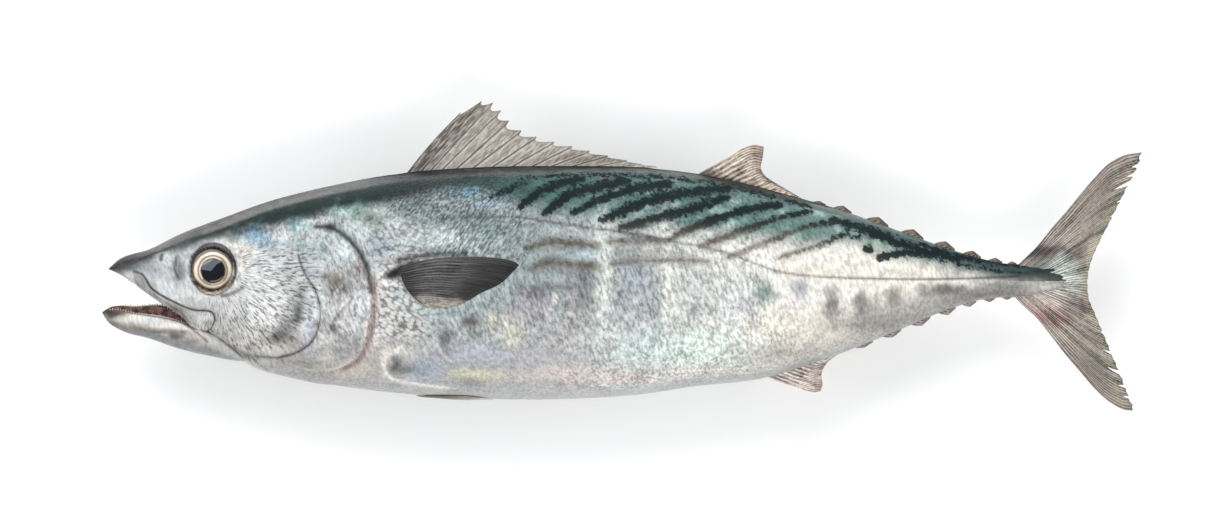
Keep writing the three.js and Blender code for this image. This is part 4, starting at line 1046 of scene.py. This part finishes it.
for word, side in SIDES:
    def bone_place(u, v, face):
        x, y = bone_sheet(u, v)
        edge = np.minimum(u, 1 - u) * breadth(bone_sheet, v)
        swell = 1.1 * np.sqrt(np.clip(edge / 1.6, 0, 1)) - 0.25 * bump(gap_to(BONE_LINE, x, y, 12), 0, 0.6)
        return x, y, MIDDLE + side * (flank_at(x, y) + np.where(face > 0, swell, -0.4) * MM)

    bone = plate(f"{word}_lip_bone", 20, 90, bone_place, fish_skin)
    paint_skin(bone.data, creases=BONE_CREASES, patches=BONE_PATCHES)
    mounted(bone, "skin", f"{word}_maxilla")

# ---- Breast fins ----
# Each breast fin is a fan of soft rays with dark skin between them. It lies folded back against the flank, the
# upper one over a shallow hollow and the lower one pressed flat under the fish.
def rays_and_reach():
    """The fin's own UV map: u, counted in rays, and v, from root to tip."""
    return add("SeparateXYZ", Vector=add("UVMap").outputs[0]).outputs[:2]


shader, link, add, place, fin_skin = new_material(
    "fin_skin", Specular_IOR_Level=0.3, Coat_Weight=0.1, Coat_Roughness=0.3)
u, v = rays_and_reach()
speckle, blotch = cloudy(700.0, 3.0), cloudy(90.0, 3.0)
ray_at = plus(u, times(spread(cloudy(120.0, 2.0), 0.2, 0.8, -0.2, 0.2), 0.6))
single, branch = (maths("ABSOLUTE")(minus(maths("FRACT")(times(ray_at, count)), 0.5)) for count in (1.0, 2.0))
ray = add("Mix", Factor=spread(v, 0.35, 0.75), i2=single, i3=branch).outputs[0]
ray = spread(ray, 0.06, 0.44)
bundles = add("CombineXYZ", X=times(ray_at, 0.55), Y=times(v, 1.4)).outputs[0]
bundle = cloudy(1.0, 3.0, bundles, Roughness=0.7)
pale = times(spread(ray, 0.3, 1.0), spread(bundle, 0.35, 0.62), number("ray_pale"), spread(v, 0.55, 0.9, 1.0, 0.45))
shade = plus(spread(ray, 0, 1, 0.6, 1.1), spread(speckle, 0.3, 0.7, -0.24, 0.18),
             spread(bundle, 0.32, 0.68, -0.42, 0.3), times(pale, 0.9), spread(blotch, 0.3, 0.7, -0.12, 0.12))
colour = shaded(attribute("skin_colour").outputs["Color"], larger(shade, 0.1))
link(mixed(times(pale, 0.35), colour, (0.55, 0.52, 0.48, 1)), shader.inputs["Base Color"])
height = plus(ray, spread(speckle, 0.3, 0.7, 0, 0.3))
link(add("Bump", Height=height, Distance=0.00035, Strength=0.6).outputs[0], shader.inputs["Normal"])
link(spread(speckle, 0.3, 0.7, 0.34, 0.5), shader.inputs["Roughness"])


def fan(roots, tips, lead, trail=None, stiffness=2):
    """A fin's sheet: rays run from a line of roots to a line of tips, and the first bends along the fin's leading
    edge (and the last along its trailing one, where it has one of its own). The stiffer, the fewer rays bend."""
    def bend(edge, v):
        along = edge(v)
        start, end = edge(np.zeros(1)), edge(np.ones(1))
        return along - start - (end - start) * v

    def at(u, v):
        start, end = roots(u), tips(u)
        out = start + (end - start) * v + bend(lead, v) * (1 - u) ** stiffness
        return out if trail is None else out + bend(trail, v) * u**stiffness

    return at


def tinted(piece, sheet_colour, ray_pale):
    """Colours a fin from where each point is, by sheet_colour(x, y, v, fine), and says how pale its rays are."""
    mesh = piece.data
    places = vectors(mesh, "co")
    corners = np.zeros(len(mesh.loops), np.int32)
    mesh.loops.foreach_get("vertex_index", corners)
    unrolled = np.zeros(len(mesh.loops) * 2, np.float32)
    mesh.uv_layers[0].data.foreach_get("uv", unrolled)
    v = np.zeros(len(places))
    v[corners] = unrolled[1::2]
    colour = sheet_colour(places[:, 0], places[:, 1], v, unevenness(places, 160, 3))
    mark(mesh, skin_colour=colour, ray_pale=np.full(len(places), float(ray_pale)))


PECTORAL_RAYS = 24
pectoral_sheet = fan(path(placed(PECTORAL_ROOT)), path(placed(PECTORAL_TRAIL)), path(placed(PECTORAL_UPPER)))


def pectoral_colour(x, y, v, fine):
    low = smooth(-0.045, -0.09, y / DEPTH + 0.012 * fine) * smooth(0.375, 0.33, share_at(x))
    # the near-black at the root is painted shade of the pit that the fin rises from
    return painted((14, 14, 16), ((78, 78, 80), bump(v, 0.34, 0.3) * 0.85), ((176, 170, 158), 0.85 * low),
                   ((12, 12, 14), 0.85 * smooth(0.16, 0, v) + 0.5 * bump(v, 0.9, 0.15) * (1 - low)))


for word, side in SIDES:
    def pectoral_place(u, v, face):
        x, y = pectoral_sheet(u, v)
        ridge = np.abs(np.mod(u * PECTORAL_RAYS, 1) - 0.5) * 2
        edge = np.clip(np.minimum(np.minimum(u, 1 - u), 1 - v) * 14, 0, 1)
        outer = (0.35 + 0.75 * np.sqrt(edge) - 0.16 * ridge + 0.5 * bump(u, 0.05, 0.08) * (1 - v)) * MM
        if side > 0:
            return x, y, MIDDLE + flank_at(x, y) + np.where(face > 0, outer, -0.35 * MM)
        return x, y, MIDDLE - np.minimum(flank_at(x, y), MIDDLE) + np.where(face > 0, 0, outer + 0.5 * MM)

    fin = plate(f"{word}_breast_fin", PECTORAL_RAYS * 6, 60, pectoral_place, fin_skin, PECTORAL_RAYS)
    tinted(fin, pectoral_colour, 0.34)
    mounted(fin, "fin", f"{word}_pectoral_fin")

# ---- Pelvic fins ----
# Two small soft fins lie folded in a groove along the belly, one each side of its middle.
PELVIC_START, PELVIC_RAYS = x_at(0.302), 6
# Its outline, in millimetres back from its start and out from the belly's middle: roots, tips and leading edge.
pelvic_sheet = fan(path([(0, 0), (4, 0), (10, 0)]), path([(44, 3.2), (40, 3.4), (31, 2.0), (18, 0)]),
                   path([(0, 0), (13, 6.8), (31, 9), (44, 3.2)]))


def pelvic_colour(x, y, v, fine):
    return painted((150, 140, 132), ((74, 54, 50), 0.85 * bump(v, 0.35, 0.3)),
                   ((206, 200, 196), smooth(0.75, 0.95, v)))


for word, side in SIDES:
    def pelvic_place(u, v, face):
        along, out = pelvic_sheet(u, v) * MM
        x, apart = PELVIC_START + along, 1.2 * MM + np.maximum(out, 0)
        share = share_at(x)
        _, middle, bottom = section_at(share)
        low = middle - (middle - bottom) * np.sqrt(np.clip(1 - (apart / width_at(share)) ** 2, 0, 1))
        gap = 0.35 + 0.25 * v
        edge = np.clip(np.minimum(np.minimum(u, 1 - u) * 5, (1 - v) * 8), 0, 1)
        thick = gap + 0.25 + 0.6 * np.sqrt(edge) - 0.12 * np.abs(np.mod(u * PELVIC_RAYS, 1) - 0.5)
        return x, low - np.where(face > 0, thick, gap) * MM, MIDDLE + side * apart

    fin = plate(f"{word}_belly_fin", PELVIC_RAYS * 6, 40, pelvic_place, fin_skin, PELVIC_RAYS)
    tinted(fin, pelvic_colour, 0.4)
    mounted(fin, "fin", f"{word}_pelvic_fin")

# ---- First dorsal fin ----
# Fourteen thin spines stand in a groove of the back, shorter and more upright towards the tail end, with a thin
# skin between them that dips behind each tip.
SPINES = 14
LAST_SPINE = 13.9  # where its rear edge stands, counted in spines
SUNK = 2.4 * MM  # how far it runs down into the groove
SPINE_BOW = 1.1 * MM  # how far the first spines bow forwards
spine_roots = np.array(placed([
    (0.2905, 0.458), (0.304, 0.466), (0.3125, 0.47), (0.3235, 0.475), (0.3375, 0.481), (0.3535, 0.487),
    (0.372, 0.492), (0.391, 0.495), (0.4105, 0.498), (0.4295, 0.5), (0.449, 0.5), (0.4705, 0.499), (0.49, 0.497),
    (0.508, 0.495), (0.515, 0.493)]))
spine_tips = np.array(placed([
    (0.3445, 0.735), (0.3655, 0.786), (0.3765, 0.778), (0.3842, 0.745), (0.392, 0.7), (0.404, 0.657),
    (0.4186, 0.63), (0.4356, 0.608), (0.453, 0.589), (0.4695, 0.568), (0.487, 0.548), (0.505, 0.527),
    (0.5185, 0.511), (0.531, 0.502), (0.534, 0.496)]))
# How far the skin dips between two spines, in millimetres.
membrane_dip = curve([(0, 3.4), (1, 3.2), (3, 5.2), (6, 4.0), (10, 2.8), (13, 1.2)])

shader, link, add, place, dorsal_skin = new_material(
    "dorsal_skin", Specular_IOR_Level=0.3, Coat_Weight=0.1, Coat_Roughness=0.35)
u, v = rays_and_reach()
streak, speckle = cloudy(900.0, 3.0, drawn_along(0.78, 5)), cloudy(700.0, 3.0)
past = maths("FRACT")(u)
spine = larger(spread(past, 0.09, 0.0), spread(past, 0.93, 1.0))
# a painted highlight along one side of each spine
spine_highlight = times(spread(past, 0.06, 0.16), spread(past, 0.34, 0.2), spread(v, 0.95, 0.1, 0.35, 1.0))
tone = mixed(spread(streak, 0.3, 0.72), (0.24, 0.205, 0.17, 1), (0.58, 0.54, 0.48, 1))
for amount, paint in (
        (times(spread(v, 0.55, 0.0), 0.55), (0.56, 0.54, 0.52, 1)),
        (times(spine_highlight, 0.75), (0.76, 0.74, 0.71, 1)),
        (times(spine, 0.85), (0.1, 0.08, 0.065, 1)),
        (times(spread(u, 3.2, 0.6), spread(streak, 0.65, 0.35, 0.35, 0.95)), (0.075, 0.06, 0.05, 1)),
        (times(spread(v, 0.93, 1.0), 0.5), (0.16, 0.13, 0.11, 1)),
        (spread(v, 0.09, 0.03), (0.05, 0.045, 0.045, 1)),
        (spread(speckle, 0.45, 0.75, 0.0, 0.35), (0.12, 0.1, 0.085, 1))):
    tone = mixed(amount, tone, paint)
link(tone, shader.inputs["Base Color"])
link(add("Bump", Height=plus(streak, spine), Distance=0.0004, Strength=0.5).outputs[0], shader.inputs["Normal"])
link(spread(speckle, 0.3, 0.7, 0.36, 0.52), shader.inputs["Roughness"])


def dorsal_place(u, v, face):
    i = u * LAST_SPINE
    past = np.mod(i, 1)
    foot, tip = (np.column_stack([np.interp(i, range(SPINES + 1), ends[:, k]) for k in range(2)])
                 for ends in (spine_roots, spine_tips))
    length = np.linalg.norm(tip - foot, axis=1)
    way = (tip - foot) / length[:, None]
    dip = membrane_dip(i) * np.sin(np.pi * past**0.55) ** 0.8 * (i < SPINES - 1) * MM
    out = (length - dip) * v + SUNK * (v - 1)
    bow = SPINE_BOW * np.exp(-i / 1.2) * np.sin(np.pi * np.clip(v, 0, 1))
    spine = bump(np.minimum(past, 1 - past), 0, 0.075)
    half = (0.28 + 0.25 * (1 - v) + (0.75 - 0.5 * v) * spine) * MM
    billow = (1.6 * np.sin(i * 0.9) * v**1.5 + 0.35 * np.sin(past * np.pi) * v) * MM
    x = foot[:, 0] + out * way[:, 0] - bow * way[:, 1]
    y = foot[:, 1] + out * way[:, 1] + bow * way[:, 0]
    return x, y, MIDDLE + billow + face * half


fin = plate("first_back_fin", 222, 44, dorsal_place, dorsal_skin, LAST_SPINE)
mounted(fin, "fin", "first_dorsal_fin")

# ---- Second dorsal fin, anal fin and finlets ----
# Soft-rayed fins on the edge of the back and of the belly. The finlets behind them are single short fans, each
# with its own foot in the skin.
def edge_points(edge, out, points):
    return path([(x_at(share), edge(share) + out * height * MM) for share, height in points])


def edge_fin(name, node, edge, out, lead, trail, rays, half, colour, pale, cells=(6, 36)):
    """A fan on an edge of the fish. `lead` runs from its foot to its tip and `trail` from there to its rear foot,
    in shares of the fish's length and millimetres out from the edge."""
    feet = [(share, -1.5) for share in np.linspace(lead[0][0], trail[-1][0], 5)]
    sheet = fan(*(edge_points(edge, out, points) for points in (feet, trail, lead)))

    def put(u, v, face):
        x, y = sheet(u, v)
        ridge = 0.12 * np.abs(np.mod(u * rays, 1) - 0.5)
        rim = np.sqrt(np.clip((1 - v) * 12, 0, 1)) * np.sqrt(np.clip(u * rays * 2, 0.25, 1))
        thick = (0.12 + (half * (1 - 0.65 * v) - ridge) * rim) * MM
        return x, y, MIDDLE + face * thick + 0.5 * MM * np.sin(3 * u + 1) * v**2 * half

    fin = plate(name, rays * cells[0], cells[1], put, fin_skin, rays)
    tinted(fin, colour, pale)
    mounted(fin, "fin", node)


def toned(base, foot, tip):
    """A fin's colour, with others at its foot and at its tip."""
    return lambda x, y, v, fine: painted(base, (foot, smooth(0.3, 0.0, v + 0.06 * fine)),
                                         (tip, smooth(0.7, 1.0, v + 0.1 * fine)))


edge_fin("second_back_fin", "second_dorsal_fin", back_at, 1,
         [(0.569, -0.6), (0.598, 12.5), (0.6245, 23.4), (0.6353, 24)],
         [(0.6353, 24), (0.6343, 18.5), (0.6325, 10.5), (0.6365, 7.4), (0.648, 4.6), (0.66, 2.4), (0.676, -0.6)],
         16, 1.1, toned((198, 184, 168), (84, 74, 68), (150, 132, 118)), 0.5)
edge_fin("vent_fin", "anal_fin", belly_at, -1,
         [(0.635, -0.6), (0.66, 9), (0.6837, 17.2), (0.6895, 17.6)],
         [(0.6895, 17.6), (0.6915, 14.3), (0.6905, 8), (0.695, 3.1), (0.708, -0.6)],
         14, 1.0, toned((208, 194, 185), (206, 200, 194), (186, 168, 156)), 0.5)

# Piece and node names, edge and way out, number, then where each starts, how long it is and how tall, and colour.
FINLETS = (
    ("back_finlet", "dorsal_finlet", back_at, 1, 8,
     curve([(0, 0.679), (1, 0.6985), (2, 0.73), (4, 0.7955), (6, 0.8475), (7, 0.866)]),
     curve([(0, 0.0158), (2, 0.025), (4, 0.0233), (6, 0.0167), (7, 0.0117)]),
     curve([(0, 1.6), (1, 3), (3, 4), (5, 3.2), (7, 1.6)]),
     toned((140, 122, 108), (70, 66, 64), (92, 78, 70))),
    ("belly_finlet", "anal_finlet", belly_at, -1, 7,
     curve([(0, 0.7185), (1, 0.7455), (3, 0.8), (5, 0.843), (6, 0.861)]),
     curve([(0, 0.0217), (2, 0.0217), (4, 0.0167), (6, 0.0117)]),
     curve([(0, 2), (2, 3.4), (4, 2.6), (6, 1.6)]),
     toned((170, 160, 154), (150, 148, 146), (140, 130, 126))),
)
for name, node, edge, out, count, start, length, height, colour in FINLETS:
    for i in range(count):
        foot, long, tall = float(start(i)), float(length(i)), float(height(i))
        lead = [(foot, -0.4), (foot + 0.3 * long, 0.6 * tall), (foot + 0.62 * long, tall)]
        trail = [(foot + 0.62 * long, tall), (foot + 0.82 * long, 0.62 * tall), (foot + long, 0.5),
                 (foot + 0.96 * long, -0.4)]
        edge_fin(f"{name}_{i + 1}", f"{node}_{i + 1}", edge, out, lead, trail, 5, 0.62, colour, 0.4, (5, 14))

# ---- Tail fin ----
# Two stiff lobes of closely packed rays fan out from the end of the tail stem, whose flesh runs out over their
# feet. Their rear edge is thin, pale and a little split between the rays.
TAIL_UPPER = [(0.874, 0.05), (0.882, 0.09), (0.896, 0.15), (0.91, 0.228), (0.925, 0.305), (0.939, 0.382),
              (0.953, 0.455), (0.967, 0.516), (0.982, 0.55), (0.9985, 0.562)]
TAIL_REAR = [(0.9985, 0.562), (0.996, 0.52), (0.982, 0.391), (0.967, 0.258), (0.953, 0.133), (0.9475, 0.06),
             (0.946, 0.002), (0.9475, -0.07), (0.953, -0.129), (0.967, -0.279), (0.982, -0.438),
             (0.9915, -0.548)]
TAIL_LOWER = [(0.874, -0.05), (0.882, -0.09), (0.896, -0.146), (0.91, -0.223), (0.925, -0.309),
              (0.939, -0.382), (0.953, -0.455), (0.967, -0.511), (0.982, -0.546), (0.9915, -0.548)]
TAIL_RAYS = 46
# Splits in the rear edge: where across the fan, how wide, how deep.
SPLITS = [(0.05, 0.006, 0.035), (0.085, 0.006, 0.05), (0.12, 0.011, 0.12), (0.19, 0.005, 0.04),
          (0.25, 0.005, 0.03), (0.33, 0.005, 0.03), (0.7, 0.005, 0.03), (0.78, 0.007, 0.09),
          (0.855, 0.009, 0.12), (0.91, 0.006, 0.06), (0.95, 0.005, 0.05)]
tail_sheet = fan(path(placed([(0.874, 0.05), (0.893, 0.03), (0.9, 0), (0.893, -0.03), (0.874, -0.05)])),
                 path(placed(TAIL_REAR)), path(placed(TAIL_UPPER)), path(placed(TAIL_LOWER)), 7)
TAIL_PATCHES = [
    (0.897, 0.135, 9, 4, (34, 24, 24), 0.92), (0.91, 0.14, 9, 3.4, (44, 32, 32), 0.85),
    (0.928, 0.115, 7, 3, (60, 48, 46), 0.7), (0.91, -0.155, 10, 3, (84, 62, 60), 0.6),
    (0.905, 0.06, 7, 5, (70, 84, 80), 0.75), (0.925, 0.06, 8, 6, (186, 196, 188), 0.85),
    (0.918, -0.02, 10, 5, (206, 206, 196), 0.85), (0.935, 0.0, 5, 9, (150, 160, 154), 0.7),
    (0.908, -0.1, 9, 4, (196, 178, 172), 0.8), (0.9, -0.13, 8, 4, (150, 108, 104), 0.6),
    (0.912, -0.16, 9, 5, (140, 112, 104), 0.5), (0.944, 0.0, 2.5, 12, (120, 112, 98), 0.7),
    (0.935, -0.1, 5, 6, (96, 90, 84), 0.5), (0.938, 0.12, 5, 6, (88, 80, 72), 0.5),
]


def tail_colour(x, y, v, fine):
    height = y / DEPTH
    colour = painted((152, 142, 132), ((132, 122, 114), smooth(0.1, 0.5, height)),
                     ((124, 114, 107), smooth(-0.2, -0.4, height)),
                     ((166, 160, 138), 0.8 * smooth(0.8, 0.93, v + 0.03 * fine) * bump(height, 0, 0.5)),
                     ((92, 80, 72), 0.7 * smooth(0.975, 1.0, v)))
    return patched(colour, x, y, TAIL_PATCHES, fine)


def tail_place(u, v, face):
    cut = np.zeros(len(u))
    for middle, wide, deep in SPLITS:
        cut = np.maximum(cut, deep * np.clip(1 - np.abs(u - middle) / wide, 0, 1))
    ragged = 0.012 * np.abs(np.sin(u * TAIL_RAYS * np.pi / 1.5)) + cut
    x, y = tail_sheet(u, v * (1 - ragged))
    ridge = np.abs(np.mod(u * TAIL_RAYS, 1) - 0.5)
    flesh = 1.7 * bump(share_at(x), 0.905, 0.022) * bump(y / DEPTH, 0, 0.1)
    flesh = flesh * (1 + 0.18 * np.sin(u * 46))
    rim = np.sqrt(np.clip(np.minimum(u, 1 - u) * 30, 0.1, 1)) * np.sqrt(np.clip((1 - v) * 12, 0.2, 1))
    half = (2.0 * (1 - v) ** 1.6 + 0.42 - 0.22 * ridge * (1 - 0.4 * v)) * rim + flesh
    bow = 1.2 * np.sin(4 * u + 0.5) * v**2
    return x, y, MIDDLE + (face * half + bow) * MM


tail = plate("tail_fan", TAIL_RAYS * 8, 70, tail_place, fin_skin, TAIL_RAYS)
tinted(tail, tail_colour, 0.7)
mounted(tail, "fin", "caudal_fin")
